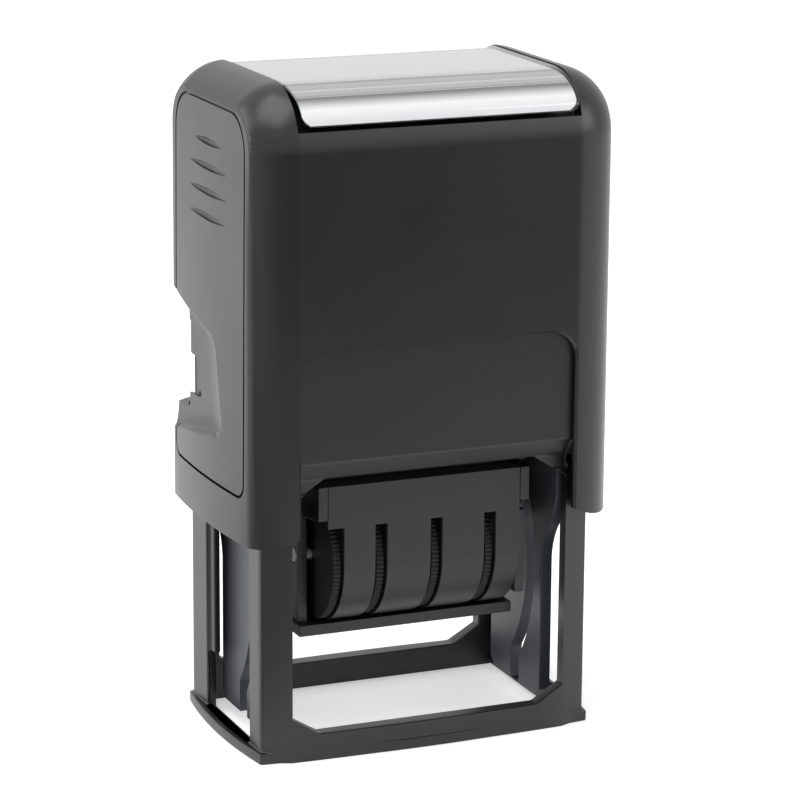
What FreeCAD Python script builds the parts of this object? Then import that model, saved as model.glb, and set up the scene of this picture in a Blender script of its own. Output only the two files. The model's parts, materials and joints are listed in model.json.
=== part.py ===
"""Self-inking date stamp: a casing that slides down over a base frame and turns a rocker.

Frame of the part: X to the right, Y to the back, Z up, millimetres. The origin is the
middle of the foot, on the desk. The part is drawn at rest, with the casing up, the text
plate against the ink pad and the setting wheels below it, in view through the front window.

Pressing the casing down moves the rocker's journals straight down. Two pins on the
rocker's ends run in a bowed cam slot in each guide cheek and turn the rocker half a turn,
so that the text plate comes round from the pad to the desk.
"""
import FreeCAD
import Part
import Sketcher

import math
import os
import re

Vector = FreeCAD.Vector

# Driving dimensions, in millimetres, by the piece that they belong to.
SIZES = {
    # Motion
    "stroke": 21.2,
    "print_gap": 1.0,
    "face_height": 12.0,
    "cam_throw": 5.6,
    "pin_radius": 1.2,
    "cam_gap": 0.3,
    "running_gap": 0.3,
    "side_gap": 0.35,
    "shaft_gap": 0.05,
    "overrun": 2.0,
    # Casing: widest at the bottom of its sides, flat and a little narrower at the top
    "cap_half_width": 31.0,
    "cap_bulge": 1.5,
    "cap_trim": 0.2,
    "cap_draw_in": 1.35,
    "cap_half_depth": 20.8,
    "cap_corner": 8.7,
    "cap_inner_corner": 5.0,
    "cap_bottom": 35.3,
    "cap_top": 105.5,
    "cap_wall": 1.1,
    "cap_side_wall": 3.05,
    "cap_roof": 1.8,
    "crown_radius": 10.0,
    "crown_cavity_margin": 1.3,
    "crown_cavity_inset": 3.95,
    "cutout_inset": 5.2,
    "cutout_corner": 4.4,
    "cutout_top": 65.6,
    "cutout_rim": 0.4,
    "skirt_round_width": 6.0,
    "skirt_round_height": 1.8,
    "skirt_round_bend": 3.0,
    "skirt_round_rise": 0.6,
    # Side recess of the casing, at the back half of each side
    "recess_wall": 0.7,
    "recess_ramp": 15.5,
    "recess_ramp_low": 4.6,
    "recess_ramp_top": 2.2,
    "recess_front": 10.6,
    "recess_front_top": 9.0,
    "recess_bend": 6.6,
    "recess_low": 44.6,
    "recess_low_front": 48.6,
    "recess_low_round": 7.5,
    "recess_mid": 50.7,
    "recess_high_front": 63.3,
    "recess_bend_height": 65.6,
    "recess_high": 71.6,
    "recess_corner_set": 0.75,
    "grip_window_front": 13.0,
    "grip_window_low": 50.0,
    "grip_window_high": 66.0,
    "grip_window_slant": 3.4,
    # Grip grooves and the line round the side panel
    "grip_count": 3,
    "grip_pitch": 3.85,
    "grip_low": 83.3,
    "grip_half_length": 8.9,
    "grip_short_half_length": 6.4,
    "grip_depth": 0.55,
    "panel_line": 0.45,
    "panel_line_depth": 0.3,
    "panel_half_depth": 15.5,
    "panel_low": 42.3,
    "panel_low_corner": 2.5,
    "panel_high": 101.2,
    "panel_high_corner": 6.0,
    # Index window and card on the crown
    "window_margin": 7.9,
    "window_low": 98.95,
    "window_depth": 2.4,
    "window_inset": 0.1,
    "window_thick": 1.5,
    "window_tab_width": 3.6,
    "window_tab_edge": 0.6,
    "window_tab_low": 100.9,
    "window_tab_height": 0.5,
    "window_tab_depth": 0.7,
    "window_tab_pitch": 1.3,
    "card_thick": 0.3,
    # Foot and legs of the base frame
    "foot_reach": 0.3,
    "foot_corner_set": 3.0,
    "foot_side_bulge": 1.3,
    "foot_front_bulge": 1.8,
    "foot_height": 1.8,
    "foot_ledge": 1.1,
    "foot_lip": 1.1,
    "foot_rim": 0.7,
    "bar_height": 4.4,
    "leg_wall": 1.6,
    "leg_corner_set": 3.8,
    "leg_edge_set": 1.9,
    "leg_front_bulge": 0.6,
    "leg_step": 2.7,
    "pillar_width": 4.6,
    "front_window_low_run": 4.6,
    "front_window_low_rise": 2.8,
    "front_window_top_run": 5.5,
    "front_window_top_drop": 3.4,
    "side_pillar_front": 4.6,
    "side_pillar_back": 6.6,
    "side_window_top": 44.0,
    "sleeve_bottom": 45.0,
    "sleeve_wall": 1.5,
    "sleeve_corner": 5.0,
    "sleeve_clear": 0.5,
    "panel_bevel_rise": 3.1,
    "panel_bevel_set": 2.4,
    "guide_rib_low": 11.0,
    "guide_rib_width": 2.1,
    "guide_rib_thick": 1.1,
    "guide_rib_root": 0.6,
    # Shelves inside the frame
    "pad_clearance": 1.2,
    "pad_set": 0.1,
    "deck_thick": 1.3,
    "deck_opening_gap": 0.35,
    "deck_opening_margin": 2.3,
    "tray_rest_gap": 0.1,
    "seat_height": 60.0,
    "seat_thick": 1.4,
    "seat_corner": 4.0,
    # Guide cheeks
    "cheek_room": 1.35,
    "cheek_thick": 2.0,
    "cheek_bottom": 2.5,
    "cheek_margin": 0.6,
    "cheek_step": 5.1,
    "cheek_shoulder": 38.0,
    "cheek_waist": 26.0,
    "cheek_foot_chamfer": 1.2,
    # Drive stirrup
    "arm_thick": 1.6,
    "arm_gap": 0.3,
    "arm_front": 1.6,
    "arm_eye_radius": 3.4,
    "stirrup_thick": 3.6,
    "stirrup_margin": 1.5,
    "journal_radius": 1.9,
    # Return spring
    "spring_radius": 6.0,
    "spring_wire": 1.0,
    "spring_turns": 8,
    "spring_seat_gap": 0.2,
    "spigot_radius": 4.8,
    "spigot_height": 3.5,
    # Ink cartridge
    "tray_wall": 1.2,
    "tray_front_gap": 0.2,
    "tray_back_margin": 2.6,
    "tray_height": 8.6,
    "tray_head_gap": 0.1,
    "tray_head_inset": 5.75,
    "tray_wing_inset": 2.05,
    "tray_wing_back_gap": 1.2,
    "tray_wing_margin": 1.0,
    "tray_wing_low": 50.3,
    "tray_wing_high": 58.0,
    "grip_rib_pitch": 1.0,
    "grip_rib_height": 0.4,
    "grip_rib_count": 4,
    "pad_margin": 0.3,
    "pad_thick": 4.6,
    # Rocker
    "cover_wall": 1.2,
    "cover_radius": 10.7,
    "cover_back": 13.0,
    "cover_top": 8.8,
    "cover_split": 1.5,
    "cover_shoulder": 9.5,
    "slot_top": 36.2,
    "slot_width": 1.9,
    "wheel_depth": 4.3,
    "wheel_drop": 4.7,
    "end_plate_thick": 1.6,
    "end_plate_front": 6.3,
    "end_plate_shoulder": 37.6,
    "end_cap_front": 13.4,
    "end_cap_low": 22.0,
    "end_cap_high": 35.6,
    "boss_radius": 3.4,
    "boss_width": 2.6,
    "strip_reach": 0.4,
    "strip_half_depth": 8.0,
    "strip_thick": 1.8,
    "plate_reach": 0.95,
    "plate_half_depth": 11.2,
    "die_thick": 1.3,
    "carrier_window_left_set": 2.2,
    "carrier_window_right_set": 0.3,
    "carrier_window_depth": 4.2,
    "die_window_depth": 3.3,
    # Setting wheels and date bands, placed by their share of the cover's half width
    "wheel_radius": 10.4,
    "tooth_height": 0.4,
    "tooth_count": 90,
    "rim_width": 1.3,
    "hub_radius": 5.3,
    "axle_radius": 1.2,
    "band_thick": 0.8,
    "band_gap": 0.3,
    "band_edge_gap": 0.5,
    "anvil_radius": 1.9,
    "anvil_gap": 0.15,
    "anvil_height": 4.6,
    "wheel_one_share": 0.895,
    "wheel_two_share": 0.45,
    "wheel_three_share": 0.123,
    "wheel_four_share": 0.685,
    "hub_outer_share": 0.568,
    "hub_two_share": 0.025,
    "hub_four_share": 0.963,
}

# Places and sizes that follow from the driving dimensions.
PLACES = {
    "pivot_height": "stroke + face_height + print_gap",
    "print_face": "pivot_height + face_height",
    "cap_inner_depth": "cap_half_depth - cap_wall",
    "cap_inner_width": "cap_half_width - cap_side_wall",
    "cap_reach": "cap_half_width + cap_trim",
    "recess_floor": "cap_inner_width + recess_wall",
    "cap_top_width": "cap_half_width - cap_draw_in",
    "crown_centre_depth": "cap_half_depth - crown_radius",
    "crown_centre_height": "cap_top - crown_radius",
    "crown_cavity_depth": "crown_centre_depth - crown_cavity_margin",
    "crown_cavity_width": "cap_inner_width - crown_cavity_inset",
    "cutout_half_width": "cap_inner_width - cutout_inset",
    "card_floor": "cap_top - window_depth",
    "window_half_width": "cap_half_width - window_margin",
    "panel_floor": "cap_top_width - panel_line_depth",
    "cavity_top": "card_floor - cap_roof",
    "leg_half_width": "cap_inner_width - side_gap",
    "sleeve_half_depth": "cap_inner_depth - running_gap",
    "sleeve_top": "crown_centre_height - stroke - sleeve_clear",
    "sleeve_inner_width": "leg_half_width - leg_wall",
    "sleeve_inner_depth": "sleeve_half_depth - sleeve_wall",
    "leg_edge_depth": "sleeve_half_depth - leg_edge_set",
    "leg_corner_depth": "sleeve_half_depth - leg_corner_set",
    "leg_inner_depth": "sleeve_inner_depth - leg_step",
    "panel_bevel_depth": "sleeve_half_depth - panel_bevel_set",
    "foot_corner_width": "leg_half_width + foot_reach",
    "foot_corner_depth": "sleeve_half_depth - foot_corner_set",
    "foot_opening_width": "sleeve_inner_width - foot_rim",
    "front_window_width": "leg_half_width - pillar_width",
    "front_window_low_width": "front_window_width - front_window_low_run",
    "front_window_top_width": "front_window_width - front_window_top_run",
    "side_window_front": "leg_inner_depth - side_pillar_front",
    "side_window_back": "leg_inner_depth - side_pillar_back",
    "pad_bottom": "print_face + pad_clearance",
    "tray_bottom": "pad_bottom - pad_set",
    "deck_top": "tray_bottom - tray_rest_gap",
    "deck_bottom": "deck_top - deck_thick",
    "cheek_outer": "sleeve_inner_width - cheek_room",
    "cheek_inner": "cheek_outer - cheek_thick",
    "arm_outer": "cheek_inner - side_gap",
    "arm_inner": "arm_outer - arm_thick",
    "boss_outer": "arm_inner - arm_gap",
    "end_face": "boss_outer - boss_width",
    "cover_half_width": "end_face - end_plate_thick",
    "cheek_half_depth": "leg_inner_depth - cheek_margin",
    "cheek_leg_half_depth": "cheek_half_depth - cheek_step",
    "stirrup_half_depth": "crown_cavity_depth - stirrup_margin",
    "tray_half_width": "arm_inner - running_gap",
    "tray_front": "leg_inner_depth - tray_front_gap",
    "tray_back": "leg_inner_depth - tray_back_margin",
    "tray_head_depth": "sleeve_half_depth - tray_head_gap",
    "tray_head_width": "cap_inner_width - tray_head_inset",
    "tray_wing_width": "cap_inner_width - tray_wing_inset",
    "tray_wing_back": "sleeve_half_depth - tray_wing_back_gap",
    "tray_wing_front": "tray_back + tray_wing_margin",
    "pad_half_depth": "tray_back - pad_margin",
    "journal_end": "cheek_inner - side_gap",
    "pin_end": "cheek_outer - side_gap",
    "stirrup_bottom": "cavity_top - stirrup_thick",
    "wheel_height": "pivot_height - wheel_drop",
    "cover_front": "wheel_depth + cover_radius",
    "cover_bottom": "wheel_height - cover_radius",
    "cover_high": "pivot_height + cover_top",
    "rear_centre": "cover_back - cover_radius",
    "carrier_top": "print_face - die_thick",
    "strip_half_width": "end_face + strip_reach",
    "plate_half_width": "end_face + plate_reach",
    "deck_opening_width": "plate_half_width + deck_opening_gap",
    "deck_opening_depth": "leg_inner_depth - deck_opening_margin",
    "carrier_window_left": "cover_half_width - carrier_window_left_set",
    "carrier_window_right": "cover_half_width - carrier_window_right_set",
    "wheel_one_at": "-cover_half_width * wheel_one_share",
    "wheel_two_at": "-cover_half_width * wheel_two_share",
    "wheel_three_at": "cover_half_width * wheel_three_share",
    "wheel_four_at": "cover_half_width * wheel_four_share",
    "hub_one_end": "-cover_half_width * hub_outer_share",
    "hub_two_end": "-cover_half_width * hub_two_share",
    "hub_three_end": "cover_half_width * hub_outer_share",
    "hub_four_end": "cover_half_width * hub_four_share",
    "anvil_centre": "print_face - anvil_radius - anvil_gap - band_thick",
    "band_drum": "hub_radius + band_gap",
    "band_nose": "anvil_radius + anvil_gap",
}

SIN_45 = math.sin(math.radians(45))
TOLERANCE = 1e-6

document = FreeCAD.newDocument("DateStamp")


def make_sheet(name, rows):
    """Put named rows in a spreadsheet, with one alias for each value cell."""
    sheet = document.addObject("Spreadsheet::Sheet", name)
    for row, (alias, content) in enumerate(rows, start=1):
        sheet.set(f"A{row}", alias)
        sheet.set(f"B{row}", content)
        sheet.setAlias(f"B{row}", alias)
    document.recompute()
    return sheet


def bind(expression):
    """Write the sheet's name before each alias of an expression."""

    def prefixed(match):
        word = match.group(0)
        if word in SIZES:
            return "sizes." + word
        return "places." + word if word in PLACES else word

    return re.sub(r"[a-z][a-z0-9_]*", prefixed, expression)


sizes = make_sheet("sizes", [(alias, str(value)) for alias, value in SIZES.items()])
places = make_sheet("places", [(alias, "=" + bind(rule)) for alias, rule in PLACES.items()])


def value(expression):
    """Work out an expression of sheet names, in millimetres."""
    result = sizes.evalExpression(bind(expression))
    return float(getattr(result, "Value", result))


class Piece:
    """One sub-part as a PartDesign body, built from outlines bound to the sheet.

    An outline is a list of corners (across, up), each a pair of expressions. An entry
    ("via", across, up) between two corners makes the stretch between them an arc.
    Corners are (y, z) on the YZ plane, (x, z) on XZ and (x, y) on XY.
    """

    def __init__(self, label):
        self.body = document.addObject("PartDesign::Body", label)
        self.body.Label = label
        self.label = label
        self.steps = 0

    def name(self, kind):
        """A name of its own for the next feature of this body."""
        self.steps += 1
        return f"{self.label}_{kind}{self.steps}"

    def plane(self, role):
        """One of the body's own origin planes."""
        return next(item for item in self.body.Origin.OriginFeatures if item.Role == role)

    def pin_down(self, sketch, geometry, end, across, up):
        """Bind one point of a sketch to two expressions."""
        for kind, rule, axis in (("DistanceX", across, -2), ("DistanceY", up, -1)):
            if rule == "0":
                sketch.addConstraint(Sketcher.Constraint("PointOnObject", geometry, end, axis))
                continue
            index = sketch.addConstraint(Sketcher.Constraint(kind, -1, 1, geometry, end, value(rule)))
            sketch.setExpression(f"Constraints[{index}]", bind(rule))

    def draw_loop(self, sketch, outline):
        """Draw one closed outline and bind each of its corners."""
        corners = [item for item in outline if item[0] != "via"]
        stretches = []
        for index, item in enumerate(outline):
            if item[0] == "via":
                continue
            after = outline[(index + 1) % len(outline)]
            start = Vector(value(item[0]), value(item[1]), 0)
            following = corners[(corners.index(item) + 1) % len(corners)]
            finish = Vector(value(following[0]), value(following[1]), 0)
            if after[0] != "via":
                line = sketch.addGeometry(Part.LineSegment(start, finish), False)
                stretches.append((line, 1, 2))
                continue
            middle = Vector(value(after[1]), value(after[2]), 0)
            turns_left = (middle - start).cross(finish - start).z > 0
            ends = (start, finish) if turns_left else (finish, start)
            arc = sketch.addGeometry(Part.Arc(ends[0], middle, ends[1]), False)
            begins = 1 if turns_left else 2
            stretches.append((arc, begins, 3 - begins))
            mark = sketch.addGeometry(Part.Point(middle), True)
            self.pin_down(sketch, mark, 1, after[1], after[2])
            sketch.addConstraint(Sketcher.Constraint("PointOnObject", mark, 1, arc))
        for index, (geometry, begins, ends) in enumerate(stretches):
            following, following_begins, _ = stretches[(index + 1) % len(stretches)]
            sketch.addConstraint(
                Sketcher.Constraint("Coincident", geometry, ends, following, following_begins))
            self.pin_down(sketch, geometry, begins, *corners[index])

    def sketch(self, role, offset, outlines):
        """A sketch on one origin plane, moved along its normal."""
        drawing = self.body.newObject("Sketcher::SketchObject", self.name("sketch"))
        drawing.AttachmentSupport = [(self.plane(role), "")]
        drawing.MapMode = "FlatFace"
        drawing.setExpression("AttachmentOffset.Base.z", bind(offset))
        for outline in outlines:
            self.draw_loop(drawing, outline)
        return drawing

    def circle_sketch(self, role, offset, across, up, radius):
        """A sketch of one circle on an origin plane."""
        drawing = self.sketch(role, offset, [])
        middle = Vector(value(across), value(up), 0)
        circle = drawing.addGeometry(Part.Circle(middle, Vector(0, 0, 1), value(radius)), False)
        self.pin_down(drawing, circle, 3, across, up)
        index = drawing.addConstraint(Sketcher.Constraint("Radius", circle, value(radius)))
        drawing.setExpression(f"Constraints[{index}]", bind(radius))
        return drawing

    def extrude(self, kind, role, low, high, make_sketch):
        """Pad or pocket between two places along the plane's axis."""
        before = self.body.Tip.Shape.Volume if self.body.Tip else 0
        offset = f"-({high})" if role == "XZ_Plane" else low
        drawing = make_sketch(role, offset)
        feature = self.body.newObject(f"PartDesign::{kind}", self.name(kind.lower()))
        feature.Profile = drawing
        feature.setExpression("Length", bind(f"({high}) - ({low})"))
        feature.Reversed = kind == "Pocket"
        document.recompute()
        if not feature.isValid() or feature.Shape.isNull():
            raise RuntimeError(f"{feature.Name} has no shape: {feature.State}")
        if kind == "Pocket" and feature.Shape.Volume > before - TOLERANCE:
            raise RuntimeError(f"{feature.Name} cuts nothing")
        return feature

    def pad(self, role, low, high, *outlines):
        """Add material with the outlines' shape between two places."""
        return self.extrude("Pad", role, low, high, lambda r, o: self.sketch(r, o, outlines))

    def pocket(self, role, low, high, *outlines):
        """Cut material with the outlines' shape between two places."""
        return self.extrude("Pocket", role, low, high, lambda r, o: self.sketch(r, o, outlines))

    def pad_round(self, role, low, high, across, up, radius):
        """Add a round boss or pin."""
        return self.extrude("Pad", role, low, high,
                            lambda r, o: self.circle_sketch(r, o, across, up, radius))

    def bore(self, role, low, high, across, up, radius):
        """Cut a round hole."""
        return self.extrude("Pocket", role, low, high,
                            lambda r, o: self.circle_sketch(r, o, across, up, radius))

    def spindle(self, side, across, height, half_length, radius):
        """Cut a groove with tapered ends, as a lens turned about a line along Y."""
        outline = [(f"{side}({across})", f"-{half_length}"),
                   ("via", f"{side}({across} - {radius})", "0"),
                   (f"{side}({across})", half_length)]
        drawing = self.sketch("XY_Plane", height, [outline])
        start, finish = Vector(value(outline[0][0]), value(outline[0][1]), 0), Vector(
            value(outline[2][0]), value(outline[2][1]), 0)
        axis = drawing.addGeometry(Part.LineSegment(start, finish), True)
        self.pin_down(drawing, axis, 1, *outline[0])
        self.pin_down(drawing, axis, 2, *outline[2])
        groove = self.body.newObject("PartDesign::Groove", self.name("groove"))
        groove.Profile = drawing
        groove.ReferenceAxis = (drawing, ["Axis0"])
        groove.Angle = 360
        document.recompute()
        if not groove.isValid():
            raise RuntimeError(f"{groove.Name} failed")
        return groove

    def cut_between(self, low, low_outline, high, high_outline, plane="XY_Plane"):
        """Cut away what lies between an outline at one height of a plane and one at another."""
        cut = self.body.newObject("PartDesign::SubtractiveLoft", self.name("loft"))
        cut.Profile = self.sketch(plane, low, [low_outline])
        cut.Sections = [self.sketch(plane, high, [high_outline])]
        cut.Ruled = True
        document.recompute()
        if not cut.isValid() or cut.Shape.isNull():
            raise RuntimeError(f"{cut.Name} has no shape")
        return cut

    def dress(self, kind, sizing, wanted):
        """Round or bevel the tip's edges whose two end points pass a test."""
        base = self.body.Tip
        names = [f"Edge{index}" for index, edge in enumerate(base.Shape.Edges, start=1)
                 if wanted(edge.Vertexes[0].Point, edge.Vertexes[-1].Point)]
        if not names:
            raise RuntimeError(f"{self.label} has no such edge")
        feature = self.body.newObject(f"PartDesign::{kind}", self.name(kind.lower()))
        feature.Base = (base, names)
        feature.setExpression("Size" if kind == "Chamfer" else "Radius", bind(sizing))
        document.recompute()
        if not feature.isValid() or feature.Shape.isNull():
            raise RuntimeError(f"{feature.Name} failed")
        return feature

    def upright_edges(self, corners, low=None):
        """Names of the tip's edges along Z that stand on the given corners."""
        wanted = [(value(across), value(up)) for across, up in corners]
        names = []
        for index, edge in enumerate(self.body.Tip.Shape.Edges, start=1):
            if not isinstance(edge.Curve, Part.Line):
                continue
            foot, head = edge.Vertexes[0].Point, edge.Vertexes[-1].Point
            if math.hypot(foot.x - head.x, foot.y - head.y) > TOLERANCE:
                continue
            if low is not None and min(foot.z, head.z) < value(low) - TOLERANCE:
                continue
            if any(math.hypot(foot.x - x, foot.y - y) < 1e-3 for x, y in wanted):
                names.append(f"Edge{index}")
        return names

    def round_upright(self, radius, corners, low=None):
        """Round the upright edges at the given corners."""
        names = self.upright_edges(corners, low)
        if not names:
            raise RuntimeError(f"{self.label} has no upright edge there")
        base = self.body.Tip
        feature = self.body.newObject("PartDesign::Fillet", self.name("fillet"))
        feature.Base = (base, names)
        feature.setExpression("Radius", bind(radius))
        document.recompute()
        return feature


def box_outline(left, right, low, high):
    """Four corners of a rectangle."""
    return [(left, low), (right, low), (right, high), (left, high)]


def four_corners(half_width, half_depth):
    """The corners of a rectangle about the axis."""
    quarters = (("-", "-"), ("", "-"), ("", ""), ("-", ""))
    return [(f"{a}({half_width})", f"{b}({half_depth})") for a, b in quarters]


def rounded_box(half_width, half_depth, radius):
    """Outline of a rectangle about the axis with round corners."""
    share = 1 - SIN_45
    corners = []
    for a, b in (("-", "-"), ("", "-"), ("", ""), ("-", "")):
        upright = (f"{a}({half_width})", f"{b}({half_depth} - {radius})")
        bend = ("via", f"{a}({half_width} - {radius} * {share})",
                f"{b}({half_depth} - {radius} * {share})")
        flat = (f"{a}({half_width} - {radius})", f"{b}({half_depth})")
        corners += [upright, bend, flat] if a == b else [flat, bend, upright]
    return corners


def shaped(label, shape):
    """A sub-part whose shape comes from a formula."""
    feature = document.addObject("Part::Feature", label)
    feature.Label = label
    feature.Shape = shape
    return feature


def prism(points, direction):
    """Extrude a closed polygon of points."""
    return Part.Face(Part.makePolygon(points + points[:1])).extrude(direction)


def rod(radius, start, length, axis):
    """A cylinder from a start point along an axis."""
    return Part.makeCylinder(radius, length, start, axis)


# Base frame


def base_frame():
    """Foot, four corner legs with open windows between them, and the sleeve above."""
    piece = Piece("base_frame")
    foot = [
        ("-foot_corner_width", "-foot_corner_depth"),
        ("via", "0", "-foot_corner_depth - foot_front_bulge"),
        ("foot_corner_width", "-foot_corner_depth"),
        ("via", "foot_corner_width + foot_side_bulge", "0"),
        ("foot_corner_width", "foot_corner_depth"),
        ("via", "0", "foot_corner_depth + foot_front_bulge"),
        ("-foot_corner_width", "foot_corner_depth"),
        ("via", "-foot_corner_width - foot_side_bulge", "0"),
    ]
    piece.pad("XY_Plane", "0", "foot_height", foot)
    legs = [
        ("-leg_half_width", "-leg_corner_depth"),
        ("-front_window_width", "-leg_edge_depth"),
        ("via", "0", "-leg_edge_depth - leg_front_bulge"),
        ("front_window_width", "-leg_edge_depth"),
        ("leg_half_width", "-leg_corner_depth"),
        ("leg_half_width", "leg_corner_depth"),
        ("front_window_width", "leg_edge_depth"),
        ("via", "0", "leg_edge_depth + leg_front_bulge"),
        ("-front_window_width", "leg_edge_depth"),
        ("-leg_half_width", "leg_corner_depth"),
    ]
    piece.pad("XY_Plane", "0", "sleeve_bottom", legs)
    piece.pad("XY_Plane", "sleeve_bottom", "sleeve_top",
              four_corners("leg_half_width", "sleeve_half_depth"))
    piece.round_upright("sleeve_corner", four_corners("leg_half_width", "sleeve_half_depth"),
                        "sleeve_bottom")
    piece.pocket("XY_Plane", "foot_height - foot_ledge", "sleeve_bottom + panel_bevel_rise",
                 four_corners("sleeve_inner_width", "leg_inner_depth"))
    piece.pocket("XY_Plane", "-overrun", "foot_height",
                 four_corners("foot_opening_width", "leg_inner_depth"))
    piece.pocket("XY_Plane", "sleeve_bottom + panel_bevel_rise", "sleeve_top + overrun",
                 four_corners("sleeve_inner_width", "sleeve_inner_depth"))
    for side in ("-", ""):
        ledge_edge = f"{side}(foot_corner_width + foot_side_bulge / 2 - foot_lip)"
        ledge = [
            (f"{side}(foot_opening_width)", "-side_window_front"),
            (ledge_edge, "-side_window_front"),
            ("via", f"{side}(foot_corner_width + foot_side_bulge - foot_lip)", "0"),
            (ledge_edge, "side_window_back"),
            (f"{side}(foot_opening_width)", "side_window_back"),
        ]
        piece.pocket("XY_Plane", "foot_height - foot_ledge", "foot_height", ledge)
        bevel = [
            (f"{side}(sleeve_half_depth + overrun)", "sleeve_bottom - overrun"),
            (f"{side}(panel_bevel_depth)", "sleeve_bottom - overrun"),
            (f"{side}(panel_bevel_depth)", "sleeve_bottom"),
            (f"{side}(sleeve_half_depth)", "sleeve_bottom + panel_bevel_rise"),
            (f"{side}(sleeve_half_depth + overrun)", "sleeve_bottom + panel_bevel_rise"),
        ]
        piece.pocket("YZ_Plane", "-front_window_width", "front_window_width", bevel)
    front_window = [
        ("-front_window_low_width", "bar_height"),
        ("front_window_low_width", "bar_height"),
        ("front_window_width", "bar_height + front_window_low_rise"),
        ("front_window_width", "sleeve_bottom - front_window_top_drop"),
        ("front_window_top_width", "sleeve_bottom"),
        ("-front_window_top_width", "sleeve_bottom"),
        ("-front_window_width", "sleeve_bottom - front_window_top_drop"),
        ("-front_window_width", "bar_height + front_window_low_rise"),
    ]
    piece.pocket("XZ_Plane", "-sleeve_half_depth - overrun", "sleeve_half_depth + overrun",
                 front_window)
    piece.pocket("YZ_Plane", "-foot_corner_width - overrun", "foot_corner_width + overrun",
                 box_outline("-side_window_front", "side_window_back", "foot_height",
                             "side_window_top"))
    piece.pocket("XZ_Plane", "tray_back + running_gap", "sleeve_half_depth + overrun",
                 box_outline("-leg_half_width - overrun", "leg_half_width + overrun",
                             "deck_top", "tray_wing_high + running_gap"))
    for side in ("-", ""):
        rib = [
            (f"{side}(sleeve_inner_width)", "side_window_back - guide_rib_width"),
            (f"{side}(sleeve_inner_width + guide_rib_thick)", "side_window_back - guide_rib_width"),
            (f"{side}(sleeve_inner_width + guide_rib_thick)", "side_window_back + guide_rib_root"),
            (f"{side}(sleeve_inner_width)", "side_window_back + guide_rib_root"),
        ]
        piece.pad("XY_Plane", "guide_rib_low", "sleeve_bottom", rib)
    return piece


def guide_deck():
    """Shelf that the ink cartridge slides on, open for the text plate and the arms."""
    piece = Piece("guide_deck")
    piece.pad("XY_Plane", "deck_bottom", "deck_top",
              four_corners("sleeve_inner_width", "leg_inner_depth"))
    piece.pocket("XY_Plane", "deck_bottom - overrun", "deck_top + overrun",
                 four_corners("deck_opening_width", "deck_opening_depth"),)
    cut_arm_slots(piece, "deck_bottom", "deck_top")
    return piece


def cut_arm_slots(piece, low, high):
    """Cut the two slots of a shelf that the stirrup's arms pass through."""
    for side in ("-", ""):
        slot = [(f"{side}(arm_inner - arm_gap)", "arm_front - arm_gap"),
                (f"{side}(arm_outer + arm_gap)", "arm_front - arm_gap"),
                (f"{side}(arm_outer + arm_gap)", "stirrup_half_depth + arm_gap"),
                (f"{side}(arm_inner - arm_gap)", "stirrup_half_depth + arm_gap")]
        piece.pocket("XY_Plane", f"{low} - overrun", f"{high} + overrun", slot)


def spring_seat():
    """Upper shelf of the frame, with the spigot that centres the spring."""
    piece = Piece("spring_seat")
    corners = four_corners("sleeve_inner_width", "sleeve_inner_depth")
    piece.pad("XY_Plane", "seat_height", "seat_height + seat_thick", corners)
    piece.round_upright("seat_corner", corners)
    cut_arm_slots(piece, "seat_height", "seat_height + seat_thick")
    piece.pad_round("XY_Plane", "seat_height + seat_thick",
                    "seat_height + seat_thick + spigot_height", "0", "0", "spigot_radius")
    return piece


def cam_point(turn):
    """Centre of the cam pin, as (y, z), after the rocker has turned by an angle."""
    down = value("stroke") * turn / math.pi
    throw = value("cam_throw")
    return (-throw * math.sin(turn), value("pivot_height") - down + throw * math.cos(turn))


def cam_slope(turn):
    """Unit direction of the cam pin's path, as (y, z)."""
    throw = value("cam_throw")
    along_y = -throw * math.cos(turn)
    along_z = -value("stroke") / math.pi - throw * math.sin(turn)
    length = math.hypot(along_y, along_z)
    return (along_y / length, along_z / length)


def cam_slot(half_width, start, width):
    """Solid of the slot: the pin's path with play on both sides, open at the bottom."""
    stations = 16
    edges = []
    ends = []
    for side in (-1, 1):
        points = []
        for step in range(stations + 1):
            turn = math.pi * step / stations
            y, z = cam_point(turn)
            slope_y, slope_z = cam_slope(turn)
            points.append(Vector(start, y - side * slope_z * half_width, z + side * slope_y * half_width))
        curve = Part.BSplineCurve()
        curve.interpolate(points)
        edges.append(curve.toShape())
        ends.append((points[0], points[-1]))
    for turn, end, outward in ((0, 0, -1), (math.pi, 1, 1)):
        y, z = cam_point(turn)
        slope_y, slope_z = cam_slope(turn)
        crest = Vector(start, y + outward * slope_y * half_width, z + outward * slope_z * half_width)
        edges.append(Part.Arc(ends[0][end], crest, ends[1][end]).toShape())
    track = Part.Face(Part.Wire(Part.__sortEdges__(edges))).extrude(Vector(width, 0, 0))
    below = value("cheek_bottom - overrun")
    exit_height = cam_point(math.pi)[1] - below
    way_out = Part.makeBox(width, 2 * half_width, exit_height, Vector(start, -half_width, below))
    return track.fuse(way_out)


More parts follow.
